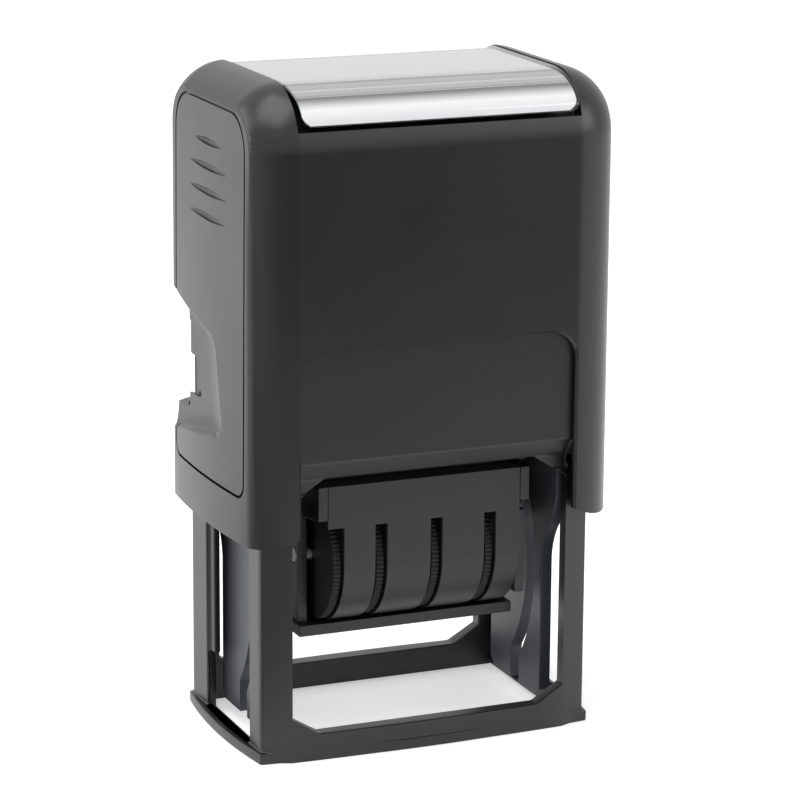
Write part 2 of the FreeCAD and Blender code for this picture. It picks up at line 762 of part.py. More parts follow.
def guide_cheek(label, side):
    """Side plate that hangs from the deck, with the bowed cam slot through it."""
    start = value("cheek_inner") if side > 0 else -value("cheek_outer")
    thick = value("cheek_thick")
    top, shoulder, waist = value("deck_bottom"), value("cheek_shoulder"), value("cheek_waist")
    wide, narrow = value("cheek_half_depth"), value("cheek_leg_half_depth")
    foot, cut = value("cheek_bottom"), value("cheek_foot_chamfer")
    half_drop = (shoulder - waist) / 2

    def place(y, z):
        return Vector(start, y, z)

    def flank(sign):
        """Shoulder of one edge: an arc out of the upright, then an arc into the leg."""
        middle = place(sign * (wide + narrow) / 2, shoulder - half_drop)
        bow = (wide - narrow) / 2 * (1 - SIN_45)
        upper = Part.Arc(place(sign * wide, shoulder),
                         place(sign * (wide - bow), shoulder - half_drop / 2), middle)
        lower = Part.Arc(middle, place(sign * (narrow + bow), waist + half_drop / 2),
                         place(sign * narrow, waist))
        return [upper.toShape(), lower.toShape()]

    lines = [(-wide, top, wide, top), (wide, top, wide, shoulder), (-wide, top, -wide, shoulder),
             (narrow, waist, narrow, foot + cut), (narrow, foot + cut, narrow - cut, foot),
             (narrow - cut, foot, cut - narrow, foot), (cut - narrow, foot, -narrow, foot + cut),
             (-narrow, foot + cut, -narrow, waist)]
    edges = [Part.LineSegment(place(a, b), place(c, d)).toShape() for a, b, c, d in lines]
    outline = Part.Wire(Part.__sortEdges__(edges + flank(-1) + flank(1)))
    plate = Part.Face(outline).extrude(Vector(thick, 0, 0))
    margin = value("overrun")
    slot = cam_slot(value("pin_radius + cam_gap"), start - margin, thick + 2 * margin)
    return shaped(label, plate.cut(slot))


def biarc(start, start_way, end, end_way):
    """Two arcs that join two points with the given directions."""
    span = end - start
    ways = start_way + end_way
    spread = 2 * (1 - start_way.dot(end_way))
    along = span.dot(ways)
    reach = (-along + math.sqrt(along * along + spread * span.dot(span))) / spread
    middle = (start + end + (start_way - end_way) * reach) * 0.5
    return [tangent_arc(start, start_way, middle), tangent_arc(end, end_way * -1, middle)]


def tangent_arc(start, way, end):
    """The arc from one point, with a given direction there, to another point."""
    chord = end - start
    across = chord - way * chord.dot(way)
    across.normalize()
    half_turn = math.atan2(chord.dot(across), chord.dot(way))
    radius = chord.Length / (2 * math.sin(half_turn))
    centre = start + across * radius
    middle = centre - across * (radius * math.cos(half_turn)) + way * (radius * math.sin(half_turn))
    return Part.Arc(start, middle, end).toShape()


def return_spring():
    """Coil spring between the spring seat and the stirrup, one unbroken wire."""
    wire = value("spring_wire")
    radius = value("spring_radius")
    turns = int(value("spring_turns"))
    low = value("seat_height + seat_thick + spring_seat_gap") + wire / 2
    high = value("stirrup_bottom - spring_seat_gap") - wire / 2
    rise = (high - low) / turns
    steps = 4 * turns

    def helix(step):
        angle = 2 * math.pi * step / 4
        return Vector(radius * math.cos(angle), radius * math.sin(angle), low + rise * step / 4)

    def heading(step):
        angle = 2 * math.pi * step / 4
        way = Vector(-radius * math.sin(angle), radius * math.cos(angle), rise / (2 * math.pi))
        way.normalize()
        return way

    edges = []
    for step in range(steps):
        edges += biarc(helix(step), heading(step), helix(step + 1), heading(step + 1))
    path = Part.Wire(Part.__sortEdges__(edges))
    section = Part.Wire([Part.Circle(helix(0), heading(0), wire / 2).toShape()])
    print(f"spring: least gap between turns {rise - wire:.2f} mm, {turns} turns")
    return shaped("return_spring", path.makePipeShell([section], True, False))


# Casing


def crown_band(outer, inner, low):
    """Outline of a sheet that follows the crown, between two depths below it."""
    corners = []
    for depth, order in ((outer, (-1, 1)), (inner, (1, -1))):
        radius = f"(crown_radius - ({depth}))"
        drop = f"(({low}) - crown_centre_height)"
        reach = f"sqrt({radius} * {radius} - {drop} * {drop})"
        for sign in order:
            mark = "-" if sign < 0 else ""
            edge = (f"{mark}(crown_centre_depth + {reach})", low)
            rise = f"crown_centre_height + {radius} * {SIN_45}"
            bend = ("via", f"{mark}(crown_centre_depth + {radius} * {SIN_45})", rise)
            top = (f"{mark}(crown_centre_depth)", f"cap_top - ({depth})")
            corners += [edge, bend, top] if sign == order[0] else [top, bend, edge]
    return corners


def panel_outline(inset):
    """Outline of the side panel, drawn in by an inset."""
    deep, low, high = f"(panel_half_depth - {inset})", f"(panel_low + {inset})", f"(panel_high - {inset})"
    small, large = f"(panel_low_corner - {inset})", f"(panel_high_corner - {inset})"
    share = 1 - SIN_45
    corners = []
    for up, level, radius, order in ((1, low, small, (-1, 1)), (-1, high, large, (1, -1))):
        for sign in order:
            mark = "-" if sign < 0 else ""
            lift = "+" if up > 0 else "-"
            upright = (f"{mark}{deep}", f"{level} {lift} {radius}")
            bend = ("via", f"{mark}({deep} - {radius} * {share})", f"{level} {lift} {radius} * {share}")
            flat = (f"{mark}({deep} - {radius})", level)
            corners += [upright, bend, flat] if sign == order[0] else [flat, bend, upright]
    return corners


def side_reach(height):
    """Half width of the casing at its middle, at a height."""
    share = f"(({height}) - cap_bottom) / (cap_top - cap_bottom)"
    return f"cap_half_width - cap_draw_in * {share}"


def cutout_outline():
    """Outline of the front and back cut-out, with its rounded top and skirt corners."""
    bend = f"cutout_corner * {1 - SIN_45}"
    foot = "cutout_half_width + skirt_round_width"
    outline = [(f"-({foot})", "cap_bottom - overrun"), (foot, "cap_bottom - overrun")]
    right = [
        (foot, "cap_bottom"),
        ("via", "cutout_half_width + skirt_round_bend", "cap_bottom + skirt_round_rise"),
        ("cutout_half_width", "cap_bottom + skirt_round_height"),
        ("cutout_half_width", "cutout_top - cutout_corner"),
        ("via", f"cutout_half_width - {bend}", f"cutout_top - {bend}"),
        ("cutout_half_width - cutout_corner", "cutout_top"),
    ]
    left = [tuple(f"-({part})" if place == len(item) - 2 else part
                  for place, part in enumerate(item)) for item in reversed(right)]
    return outline + right + left


def recess_outline(inset, lift, drop):
    """Outline of a side recess, open at the back, drawn in at its front, bottom and top."""
    back = "cap_half_depth + cap_trim"
    return [
        (back, f"recess_low + {lift}"),
        (back, f"recess_high - {drop}"),
        (f"{inset} - recess_bend", f"recess_bend_height - {drop}"),
        ("via", f"{inset} - recess_front_top + recess_corner_set",
         f"recess_bend_height - recess_corner_set - {drop}"),
        (f"{inset} - recess_front_top", f"recess_high_front - {drop}"),
        (f"{inset} - recess_front", f"recess_mid + {lift}"),
        ("via", f"{inset} - recess_front + recess_corner_set",
         f"recess_low_front + recess_corner_set + {lift}"),
        (f"{inset} - recess_low_round", f"recess_low_front + {lift}"),
    ]


def cap_shell():
    """Casing: bulged sides, crown with a window recess, cut-outs and side recesses."""
    piece = Piece("cap_shell")
    rise = f"crown_centre_height + crown_radius * {SIN_45}"
    profile = [
        ("-cap_half_depth", "cap_bottom"),
        ("cap_half_depth", "cap_bottom"),
        ("cap_half_depth", "crown_centre_height"),
        ("via", f"crown_centre_depth + crown_radius * {SIN_45}", rise),
        ("crown_centre_depth", "cap_top"),
        ("-crown_centre_depth", "cap_top"),
        ("via", f"-crown_centre_depth - crown_radius * {SIN_45}", rise),
        ("-cap_half_depth", "crown_centre_height"),
    ]
    piece.pad("YZ_Plane", "-cap_reach", "cap_reach", profile)
    reach, floor = value("cap_reach"), value("cap_bottom")

    def at_end(start, end):
        """An edge of either end face that isn't along the bottom."""
        return (abs(start.x - end.x) < TOLERANCE and abs(abs(start.x) - reach) < TOLERANCE
                and max(start.z, end.z) > floor + TOLERANCE)

    piece.dress("Fillet", "cap_corner", at_end)
    width_over = "cap_half_width + overrun"
    depth_over = "cap_half_depth + overrun"
    for side in ("-", ""):
        outer = [(f"{side}({width_over})", "cap_half_depth"),
                 (f"{side}({width_over})", "-cap_half_depth")]
        bowed = [(f"{side}(cap_half_width - cap_bulge)", "-cap_half_depth"),
                 ("via", f"{side}(cap_half_width)", "0"),
                 (f"{side}(cap_half_width - cap_bulge)", "cap_half_depth")]
        flat = [(f"{side}(cap_top_width)", "-cap_half_depth"),
                (f"{side}(cap_top_width)", "cap_half_depth")]
        piece.cut_between("cap_bottom", bowed + outer, "cap_top", flat + outer)
    piece.pocket("XY_Plane", "cap_bottom - overrun", "crown_centre_height",
                 rounded_box("cap_inner_width", "cap_inner_depth", "cap_inner_corner"))
    piece.pocket("XY_Plane", "crown_centre_height", "cavity_top",
                 four_corners("crown_cavity_width", "crown_cavity_depth"))
    piece.pocket("XZ_Plane", f"-({depth_over})", depth_over, cutout_outline())
    face, rim, top = value("cap_half_depth"), value("cutout_half_width"), value("cutout_top")

    def on_rim(start, end):
        """An edge of the cut-out in the front or back face."""
        return all(abs(abs(spot.y) - face) < TOLERANCE and spot.z < top + TOLERANCE
                   and abs(spot.x) < rim + TOLERANCE for spot in (start, end))

    piece.dress("Chamfer", "cutout_rim", on_rim)
    piece.pocket("YZ_Plane", "-window_half_width", "window_half_width",
                 crown_band("-overrun", "window_depth", "window_low"))
    for side in ("-", ""):
        piece.cut_between(f"{side}(recess_floor)",
                          recess_outline("recess_ramp", "recess_ramp_low", "recess_ramp_top"),
                          f"{side}(cap_reach)", recess_outline("0", "0", "0"), "YZ_Plane")
        low, high = ("cutout_half_width", width_over)
        if side:
            low, high = f"-({width_over})", "-cutout_half_width"
        piece.pocket("YZ_Plane", low, high,
                     [("grip_window_front", "grip_window_low"), (depth_over, "grip_window_low"),
                      (depth_over, "grip_window_high + grip_window_slant"),
                      ("grip_window_front", "grip_window_high")])
        low, high = ("panel_floor", width_over) if not side else (f"-({width_over})", "-panel_floor")
        piece.pocket("YZ_Plane", low, high, panel_outline("0"), panel_outline("panel_line"))
        for groove in range(int(value("grip_count"))):
            height = f"(grip_low + {groove} * grip_pitch)"
            piece.spindle(side, side_reach(height), height, "grip_half_length", "grip_depth")
        height = "(grip_low + grip_count * grip_pitch)"
        piece.spindle(side, side_reach(height), height, "grip_short_half_length", "grip_depth")
    return piece


def index_card():
    """Card that shows the imprint, wrapped over the crown under the clear window."""
    piece = Piece("index_card")
    half = "(window_half_width - running_gap)"
    piece.pad("YZ_Plane", f"-{half}", half,
              crown_band("window_depth - card_thick", "window_depth",
                         "window_low + running_gap"))
    return piece


def index_window():
    """Clear cover that follows the crown, with a stepped tab at each front corner."""
    piece = Piece("index_window")
    half = "(window_half_width - running_gap)"
    piece.pad("YZ_Plane", f"-{half}", half,
              crown_band("window_inset", "window_inset + window_thick",
                         "window_low + running_gap"))
    for step in range(2):
        low = f"(window_tab_low + {step} * window_tab_pitch)"
        lift = f"({low} - crown_centre_height)"
        front = f"crown_centre_depth + sqrt(crown_radius * crown_radius - {lift} * {lift})"
        notch = box_outline("-cap_half_depth - overrun", f"window_tab_depth - ({front})", low,
                            f"{low} + window_tab_height")
        near, far = f"({half} - window_tab_width)", f"({half} - window_tab_edge)"
        piece.pocket("YZ_Plane", near, far, notch)
        piece.pocket("YZ_Plane", f"-{far}", f"-{near}", notch)
    return piece


def drive_stirrup():
    """Cross plate under the crown with two arms that carry the rocker's journals."""
    piece = Piece("drive_stirrup")
    piece.pad("XY_Plane", "stirrup_bottom", "cavity_top",
              four_corners("arm_outer", "stirrup_half_depth"))
    for side in ("-", ""):
        low, high = ("arm_inner", "arm_outer") if not side else ("-arm_outer", "-arm_inner")
        arm = [
            ("arm_front", "stirrup_bottom"),
            ("stirrup_half_depth", "stirrup_bottom"),
            ("stirrup_half_depth", "pivot_height"),
            ("stirrup_half_depth - arm_eye_radius", "pivot_height - arm_eye_radius"),
            ("0", "pivot_height - arm_eye_radius"),
            ("0", "pivot_height"),
            ("arm_front", "pivot_height"),
        ]
        piece.pad("YZ_Plane", low, high, arm)
        piece.pad_round("YZ_Plane", low, high, "0", "pivot_height", "arm_eye_radius")
        piece.bore("YZ_Plane", f"{low} - overrun", f"{high} + overrun", "0", "pivot_height",
                   "journal_radius + shaft_gap")
    piece.pad_round("XY_Plane", "stirrup_bottom - spigot_height", "stirrup_bottom", "0", "0",
                    "spigot_radius")
    return piece


# Ink cartridge


def cartridge_tray():
    """Tray that holds the pad face down, with ribbed finger wings at its back corners."""
    piece = Piece("cartridge_tray")
    piece.pad("XY_Plane", "tray_bottom", "tray_bottom + tray_height",
              box_outline("-tray_half_width", "tray_half_width", "-tray_front",
                          "tray_back + running_gap"))
    head_low = "tray_back + running_gap"
    piece.pad("XY_Plane", "tray_bottom", "tray_wing_high",
              box_outline("-tray_head_width", "tray_head_width", head_low, "tray_head_depth"))
    for side in ("-", ""):
        low, high = ("tray_head_width", "tray_wing_width")
        if side:
            low, high = "-tray_wing_width", "-tray_head_width"
        piece.pad("YZ_Plane", low, high,
                  box_outline("tray_wing_front", "tray_wing_back", "tray_wing_low",
                              "tray_wing_high"))
        for rib in range(int(value("grip_rib_count"))):
            start = f"tray_wing_front + {rib} * grip_rib_pitch"
            outline = [(f"{side}(tray_wing_width)", start),
                       (f"{side}(tray_wing_width)", f"{start} + grip_rib_pitch"),
                       (f"{side}(tray_wing_width + grip_rib_height)", f"{start} + grip_rib_pitch / 2")]
            piece.pad("XY_Plane", "tray_wing_low", "tray_wing_high", outline)
    piece.pocket("XY_Plane", "tray_bottom - overrun", "pad_bottom + pad_thick",
                 four_corners("tray_half_width - tray_wall", "pad_half_depth"))
    return piece


def ink_pad():
    """Felt pad, held in the tray with its face down."""
    piece = Piece("ink_pad")
    piece.pad("XY_Plane", "pad_bottom", "pad_bottom + pad_thick",
              four_corners("tray_half_width - tray_wall", "pad_half_depth"))
    return piece


# Rocker


def cover_outline(direction, centre, reach, split):
    """Wall of the rocker's cover on one side: upright, round the wheels and along below."""
    mark = "-" if direction < 0 else ""
    inner = "(cover_radius - cover_wall)"
    bend = f"{SIN_45}"
    return [
        (f"{mark}({reach})", "cover_high"),
        (f"{mark}({reach})", "wheel_height"),
        ("via", f"{mark}({centre} + cover_radius * {bend})", f"wheel_height - cover_radius * {bend}"),
        (f"{mark}({centre})", "cover_bottom"),
        (split, "cover_bottom"),
        (split, "cover_bottom + cover_wall"),
        (f"{mark}({centre})", "cover_bottom + cover_wall"),
        ("via", f"{mark}({centre} + {inner} * {bend})", f"wheel_height - {inner} * {bend}"),
        (f"{mark}({reach} - cover_wall)", "wheel_height"),
        (f"{mark}({reach} - cover_wall)", "cover_high - cover_wall"),
        (f"{mark}(cover_shoulder)", "cover_high - cover_wall"),
        (f"{mark}(cover_shoulder)", "cover_high"),
    ]


WHEELS = [("one", "wheel_one_at", "hub_one_end"), ("two", "wheel_two_at", "hub_two_end"),
          ("three", "wheel_three_at", "hub_three_end"), ("four", "wheel_four_at", "hub_four_end")]


def date_housing():
    """Front cover of the rocker, with a slot for each setting wheel."""
    piece = Piece("date_housing")
    piece.pad("YZ_Plane", "-cover_half_width", "cover_half_width",
              cover_outline(-1, "wheel_depth", "cover_front", "cover_split"))
    for number, (_, place, _) in enumerate(WHEELS):
        left = f"{place} - slot_width / 2"
        right = f"{place} + slot_width / 2"
        if number == 0:
            left = "-cover_half_width - overrun"
        piece.pocket("XZ_Plane", "-cover_front - overrun", "cover_split - running_gap",
                     box_outline(left, right, "cover_bottom - overrun", "slot_top"))
    return piece


def rear_cover():
    """Back cover of the rocker."""
    piece = Piece("rear_cover")
    piece.pad("YZ_Plane", "-cover_half_width", "cover_half_width",
              cover_outline(1, "rear_centre", "cover_back", "cover_split"))
    return piece


def end_plate(label, side):
    """End of the rocker: plate with the journal, the cam pin and the axle's hole."""
    piece = Piece(label)

    def run(low, high):
        return (low, high) if side > 0 else (f"-({high})", f"-({low})")

    plate = [
        ("-cover_front", "cover_high"),
        ("-cover_front", "end_plate_shoulder"),
        ("-end_plate_front", "end_plate_shoulder - cover_wall"),
        ("-end_plate_front", "cover_bottom"),
        ("rear_centre", "cover_bottom"),
        ("via", f"rear_centre + cover_radius * {SIN_45}", f"wheel_height - cover_radius * {SIN_45}"),
        ("cover_back", "wheel_height"),
        ("cover_back", "cover_high"),
    ]
    face = "end_face"
    piece.pad("YZ_Plane", *run("cover_half_width", face), plate)
    if side > 0:
        piece.pad("YZ_Plane", *run("cover_half_width", face),
                  box_outline("-end_cap_front", "-end_plate_front", "end_cap_low", "end_cap_high"))
    piece.pad_round("YZ_Plane", *run(face, "boss_outer"), "0", "pivot_height", "boss_radius")
    piece.pad_round("YZ_Plane", *run("boss_outer", "journal_end"), "0", "pivot_height",
                    "journal_radius")
    piece.pad_round("YZ_Plane", *run(face, "pin_end"), "0", "pivot_height + cam_throw",
                    "pin_radius")
    piece.bore("YZ_Plane", *run("cover_half_width - overrun", f"{face} + overrun"),
               "-wheel_depth", "wheel_height", "axle_radius + shaft_gap")
    return piece


def bottom_strip():
    """Strip along the bottom of the rocker that ties its two ends together."""
    piece = Piece("bottom_strip")
    piece.pad("XY_Plane", "cover_bottom - strip_thick", "cover_bottom",
              four_corners("strip_half_width", "strip_half_depth"))
    return piece


def date_window(half_depth):
    """Outline of the opening that the date bands print through."""
    return box_outline("-carrier_window_left", "carrier_window_right", f"-{half_depth}", half_depth)


def plate_carrier():
    """Frame on top of the covers that holds the text die."""
    piece = Piece("plate_carrier")
    piece.pad("XY_Plane", "cover_high", "carrier_top",
              four_corners("plate_half_width", "plate_half_depth"))
    piece.pocket("XY_Plane", "cover_high - overrun", "carrier_top + overrun",
                 date_window("carrier_window_depth"))
    return piece


def text_die():
    """Rubber text plate, with a plain border and a window for the date."""
    piece = Piece("text_die")
    piece.pad("XY_Plane", "carrier_top", "print_face",
              four_corners("plate_half_width", "plate_half_depth"))
    piece.pocket("XY_Plane", "carrier_top - overrun", "print_face + overrun",
                 date_window("die_window_depth"))
    return piece


def wheel_axle():
    """Steel axle that the setting wheels turn on."""
    piece = Piece("wheel_axle")
    reach = "end_face"
    piece.pad_round("YZ_Plane", f"-({reach})", reach, "-wheel_depth", "wheel_height",
                    "axle_radius")
    return piece


def band_anvil():
    """Bridge with a rounded top that the bands run over behind the print face."""
    piece = Piece("band_anvil")
    bottom = "anvil_centre + anvil_radius - anvil_height"
    piece.pad("YZ_Plane", "-cover_half_width", "cover_half_width",
              box_outline("-anvil_radius", "anvil_radius", bottom, "cover_high"))
    nose = [
        ("-anvil_radius", "anvil_centre"),
        ("-anvil_radius", "cover_high"),
        ("anvil_radius", "cover_high"),
        ("anvil_radius", "anvil_centre"),
        ("via", "0", "anvil_centre + anvil_radius"),
    ]
    piece.pad("YZ_Plane", "-carrier_window_left + running_gap",
              "carrier_window_right - running_gap", nose)
    return piece


def belt(start, width, drum, nose):
    """Solid inside a belt that runs round the wheel's drum and over the anvil."""
    low = Vector(start, -value("wheel_depth"), value("wheel_height"))
    high = Vector(start, 0, value("anvil_centre"))
    line = high - low
    lean = math.atan2(line.y, line.z)
    opening = math.acos((drum - nose) / line.Length)

    def on_circle(centre, radius, angle):
        """Point at an angle from the line between the centres."""
        return centre + Vector(0, math.sin(lean + angle), math.cos(lean + angle)) * radius

    right_low, right_high = on_circle(low, drum, opening), on_circle(high, nose, opening)
    left_low, left_high = on_circle(low, drum, -opening), on_circle(high, nose, -opening)
    wire = Part.Wire([
        Part.LineSegment(right_low, right_high).toShape(),
        Part.Arc(right_high, on_circle(high, nose, 0), left_high).toShape(),
        Part.LineSegment(left_high, left_low).toShape(),
        Part.Arc(left_low, on_circle(low, drum, math.pi), right_low).toShape(),
    ])
    return Part.Face(wire).extrude(Vector(width, 0, 0))


def date_band(number, place, hub_end):
    """One printing band, a closed belt from its wheel's drum to the print face."""
    start = value(f"{place} + rim_width / 2 + band_edge_gap")
    width = value(f"{hub_end} - band_edge_gap") - start
    thick = value("band_thick")
    drum, nose = value("band_drum"), value("band_nose")
    outside = belt(start, width, drum + thick, nose + thick)
    margin = value("overrun")
    inside = belt(start - margin, width + 2 * margin, drum, nose)
    return shaped(f"date_band_{number}", outside.cut(inside))


def setting_wheel(number, place, hub_end):
    """One setting wheel: a knurled rim, and beside it the drum that drives the band."""
    tip = value("wheel_radius")
    root = value("wheel_radius - tooth_height")
    count = int(value("tooth_count"))
    rim_start = value(f"{place} - rim_width / 2")
    rim_width = value("rim_width")
    middle_y, middle_z = -value("wheel_depth"), value("wheel_height")
    points = []
    for half_tooth in range(2 * count):
        angle = math.pi * half_tooth / count
        radius = tip if half_tooth % 2 else root
        points.append(Vector(rim_start, middle_y + radius * math.cos(angle),
                             middle_z + radius * math.sin(angle)))
    rim = prism(points, Vector(rim_width, 0, 0))
    axis = Vector(1, 0, 0)
    start = Vector(rim_start, middle_y, middle_z)
    drum = rod(value("hub_radius"), start, value(hub_end) - rim_start, axis)
    margin = value("overrun")
    hole = rod(value("axle_radius + shaft_gap"), start - axis * margin,
               value(hub_end) - rim_start + 2 * margin, axis)
    return shaped(f"setting_wheel_{number}", rim.fuse(drum).cut(hole).removeSplitter())


def build():
    """Build every sub-part and return the objects in order."""
    pieces = [
        base_frame(), guide_deck(), spring_seat(), cap_shell(), index_card(), index_window(),
        drive_stirrup(), cartridge_tray(), ink_pad(), date_housing(), rear_cover(),
        end_plate("end_plate_left", -1), end_plate("end_plate_right", 1), bottom_strip(),
        plate_carrier(), text_die(), wheel_axle(), band_anvil(),
    ]
    objects = [piece.body for piece in pieces]
    objects += [guide_cheek("guide_cheek_left", -1), guide_cheek("guide_cheek_right", 1)]
    objects.append(return_spring())
    for number, (_, place, hub_end) in enumerate(WHEELS, start=1):
        objects.append(date_band(number, place, hub_end))
        objects.append(setting_wheel(number, place, hub_end))
    document.recompute()
    return objects


def check_and_write(objects):
    """Stop at any failed object, then write one STEP file for each sub-part."""
    for item in document.Objects:
        if "Invalid" in item.State or "Error" in item.State:
            raise RuntimeError(f"{item.Label} did not recompute: {item.State}")
    os.makedirs("parts", exist_ok=True)
    for item in objects:
        shape = item.Shape
        if shape.isNull() or not shape.isValid() or not shape.Solids:
            raise RuntimeError(f"{item.Label} has no valid solid")
        shape.exportStep(f"parts/{item.Label}.step")
        box = shape.BoundBox
        print(f"{item.Label}: {len(shape.Solids)} solid, {shape.Volume:.1f} mm3, "
              f"x {box.XMin:.2f} {box.XMax:.2f}, y {box.YMin:.2f} {box.YMax:.2f}, "
              f"z {box.ZMin:.2f} {box.ZMax:.2f}")


check_and_write(build())
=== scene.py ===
"""Looks of the self-inking date stamp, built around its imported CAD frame."""

import json
import logging
import math
from collections.abc import Callable, Iterator
from contextlib import contextmanager
from dataclasses import dataclass, field
from enum import Enum

import bmesh
import bpy
from mathutils import Matrix, Vector

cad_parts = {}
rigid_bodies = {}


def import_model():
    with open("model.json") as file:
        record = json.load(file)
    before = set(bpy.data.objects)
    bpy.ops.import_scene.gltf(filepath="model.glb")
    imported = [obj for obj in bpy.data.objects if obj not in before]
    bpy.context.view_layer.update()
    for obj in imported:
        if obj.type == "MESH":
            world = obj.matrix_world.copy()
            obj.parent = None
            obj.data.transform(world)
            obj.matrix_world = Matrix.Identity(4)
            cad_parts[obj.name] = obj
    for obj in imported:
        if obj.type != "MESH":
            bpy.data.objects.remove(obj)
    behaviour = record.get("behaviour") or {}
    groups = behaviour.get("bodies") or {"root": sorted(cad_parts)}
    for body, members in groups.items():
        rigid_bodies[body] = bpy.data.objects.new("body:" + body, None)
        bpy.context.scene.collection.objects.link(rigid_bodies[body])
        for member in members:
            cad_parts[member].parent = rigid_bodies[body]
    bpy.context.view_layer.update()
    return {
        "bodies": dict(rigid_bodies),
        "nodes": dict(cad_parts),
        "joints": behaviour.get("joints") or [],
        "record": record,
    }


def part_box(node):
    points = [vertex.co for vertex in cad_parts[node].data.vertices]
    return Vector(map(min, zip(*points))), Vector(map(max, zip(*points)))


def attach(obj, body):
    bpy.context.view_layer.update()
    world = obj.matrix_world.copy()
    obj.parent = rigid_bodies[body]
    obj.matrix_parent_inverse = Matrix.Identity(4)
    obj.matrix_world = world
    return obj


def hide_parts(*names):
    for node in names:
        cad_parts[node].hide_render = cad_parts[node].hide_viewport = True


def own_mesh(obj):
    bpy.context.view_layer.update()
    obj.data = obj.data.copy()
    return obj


log = logging.getLogger("date_stamp")

MILLIMETRE = 0.001
PHOTO_WIDTH_PX = 800
SENSOR_WIDTH_MM = 36.0
WHITE = (1.0, 1.0, 1.0, 1.0)

# Painted shade and painted reflections on the index card, by its distance from the stamp's middle, front and
# back alike: they stand in for the shade and reflections of the clear cover over it.
PAINTED_CARD_SHADE_BANDS = ((0.0112, 0.46), (0.0116, 0.2), (0.0124, 0.2), (0.0128, 0.36), (0.0148, 0.36), (0.0151, 0.6),
              (0.0154, 0.4), (0.0166, 0.38), (0.01675, 0.12), (0.01690, 0.6), (0.01705, 0.12),
              (0.0176, 0.2), (0.0183, 0.45), (0.0192, 0.85))


class Body(str, Enum):
    """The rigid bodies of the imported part."""

    FRAME = "frame"
    CAP = "cap"
    WINDOW = "window"
    CARTRIDGE = "cartridge"
    ROCKER = "rocker"
    WHEEL_1 = "wheel_1"
    WHEEL_2 = "wheel_2"
    WHEEL_3 = "wheel_3"
    WHEEL_4 = "wheel_4"


class Slot(str, Enum):
    """The record's material slots."""

    SHELL = "shell_black"
    FRAME = "frame_black"
    GUIDE = "guide_grey"
    ROCKER = "rocker_black"
    WHEEL = "wheel_black"
    TRAY = "tray_black"
    CLEAR = "clear_cover"
    CARD = "card_white"
    STEEL = "steel"
    FELT = "pad_felt"
    RUBBER = "rubber_dark"


@dataclass(frozen=True)
class Tint:
    """A linear colour."""

    red: float
    green: float
    blue: float

    def rgba(self) -> tuple[float, float, float, float]:
        """The colour with full alpha."""
        return (self.red, self.green, self.blue, 1.0)

    def scaled(self, factor: float) -> "Tint":
        """The colour made lighter or darker.

        Args:
            factor: what each channel is multiplied by.

        Returns:
            The new colour.
        """
        return Tint(self.red * factor, self.green * factor, self.blue * factor)


class NodeSheet:
    """A short way to add and join the nodes of one material or group."""

    def __init__(self, tree: bpy.types.NodeTree) -> None:
        """Takes the tree that the nodes go into."""
        self.tree = tree

    def add(self, kind: str, inputs: dict[str | int, object] | None = None,
            **values: object) -> bpy.types.Node:
        """Adds one node.

        Args:
            kind: Blender's name of the node type.
            inputs: what its inputs get, sockets or values.
            values: properties of the node to set.

        Returns:
            The new node.
        """
        node = self.tree.nodes.new(kind)
        for name, value in values.items():
            setattr(node, name, value)
        self.fill(node, inputs or {})
        return node

    def fill(self, node: bpy.types.Node, inputs: dict[str | int, object]) -> None:
        """Joins sockets to a node's inputs, or sets them."""
        for name, value in inputs.items():
            if isinstance(value, bpy.types.NodeSocket):
                self.join(value, node.inputs[name])
            else:
                node.inputs[name].default_value = value

    def join(self, source: bpy.types.NodeSocket, target: bpy.types.NodeSocket) -> None:
        """Links an output to an input."""
        self.tree.links.new(source, target)

    def count(self, operation: str, *terms: bpy.types.NodeSocket | float) -> bpy.types.NodeSocket:
        """Adds one Math node.

        Args:
            operation: Blender's name of the sum.
            terms: its inputs in order, sockets or numbers.

        Returns:
            The socket with the result.
        """
        return self.add("ShaderNodeMath", dict(enumerate(terms)), operation=operation).outputs["Value"]

    def bump(self, height: bpy.types.NodeSocket, shader: bpy.types.Node,
             strength: float, depth: float) -> None:
        """Raises and lowers a shader's surface.

        Args:
            height: the pattern.
            shader: the shader whose Normal it feeds.
            strength: share of the effect.
            depth: distance between the pattern's lowest and highest places.
        """
        bump = self.add("ShaderNodeBump", {"Strength": strength, "Distance": depth, "Height": height})
        self.join(bump.outputs["Normal"], shader.inputs["Normal"])

    def blend(self, mask: bpy.types.NodeSocket, colour: Tint, drift: float) -> bpy.types.NodeSocket:
        """Blends a colour between a darker and a lighter shade.

        Args:
            mask: where it is lighter.
            colour: the colour.
            drift: how much darker or lighter it gets.

        Returns:
            The socket with the blend.
        """
        mix = self.add("ShaderNodeMix", data_type="RGBA")
        self.fill(mix, {"Factor": mask, "A": colour.scaled(1.0 - drift).rgba(),
                        "B": colour.scaled(1.0 + drift).rgba()})
        return mix.outputs["Result"]

    @classmethod
    def start(cls, name: str) -> tuple[bpy.types.Material, "NodeSheet", bpy.types.Node, bpy.types.NodeSocket]:
        """Starts a material.

        Args:
            name: name of the material.

        Returns:
            The material, its sheet, its shader and its Object coordinates.
        """
        material = bpy.data.materials.new(name)
        material.use_nodes = True
        sheet = cls(material.node_tree)
        place = sheet.add("ShaderNodeTexCoord").outputs["Object"]
        return material, sheet, material.node_tree.nodes["Principled BSDF"], place


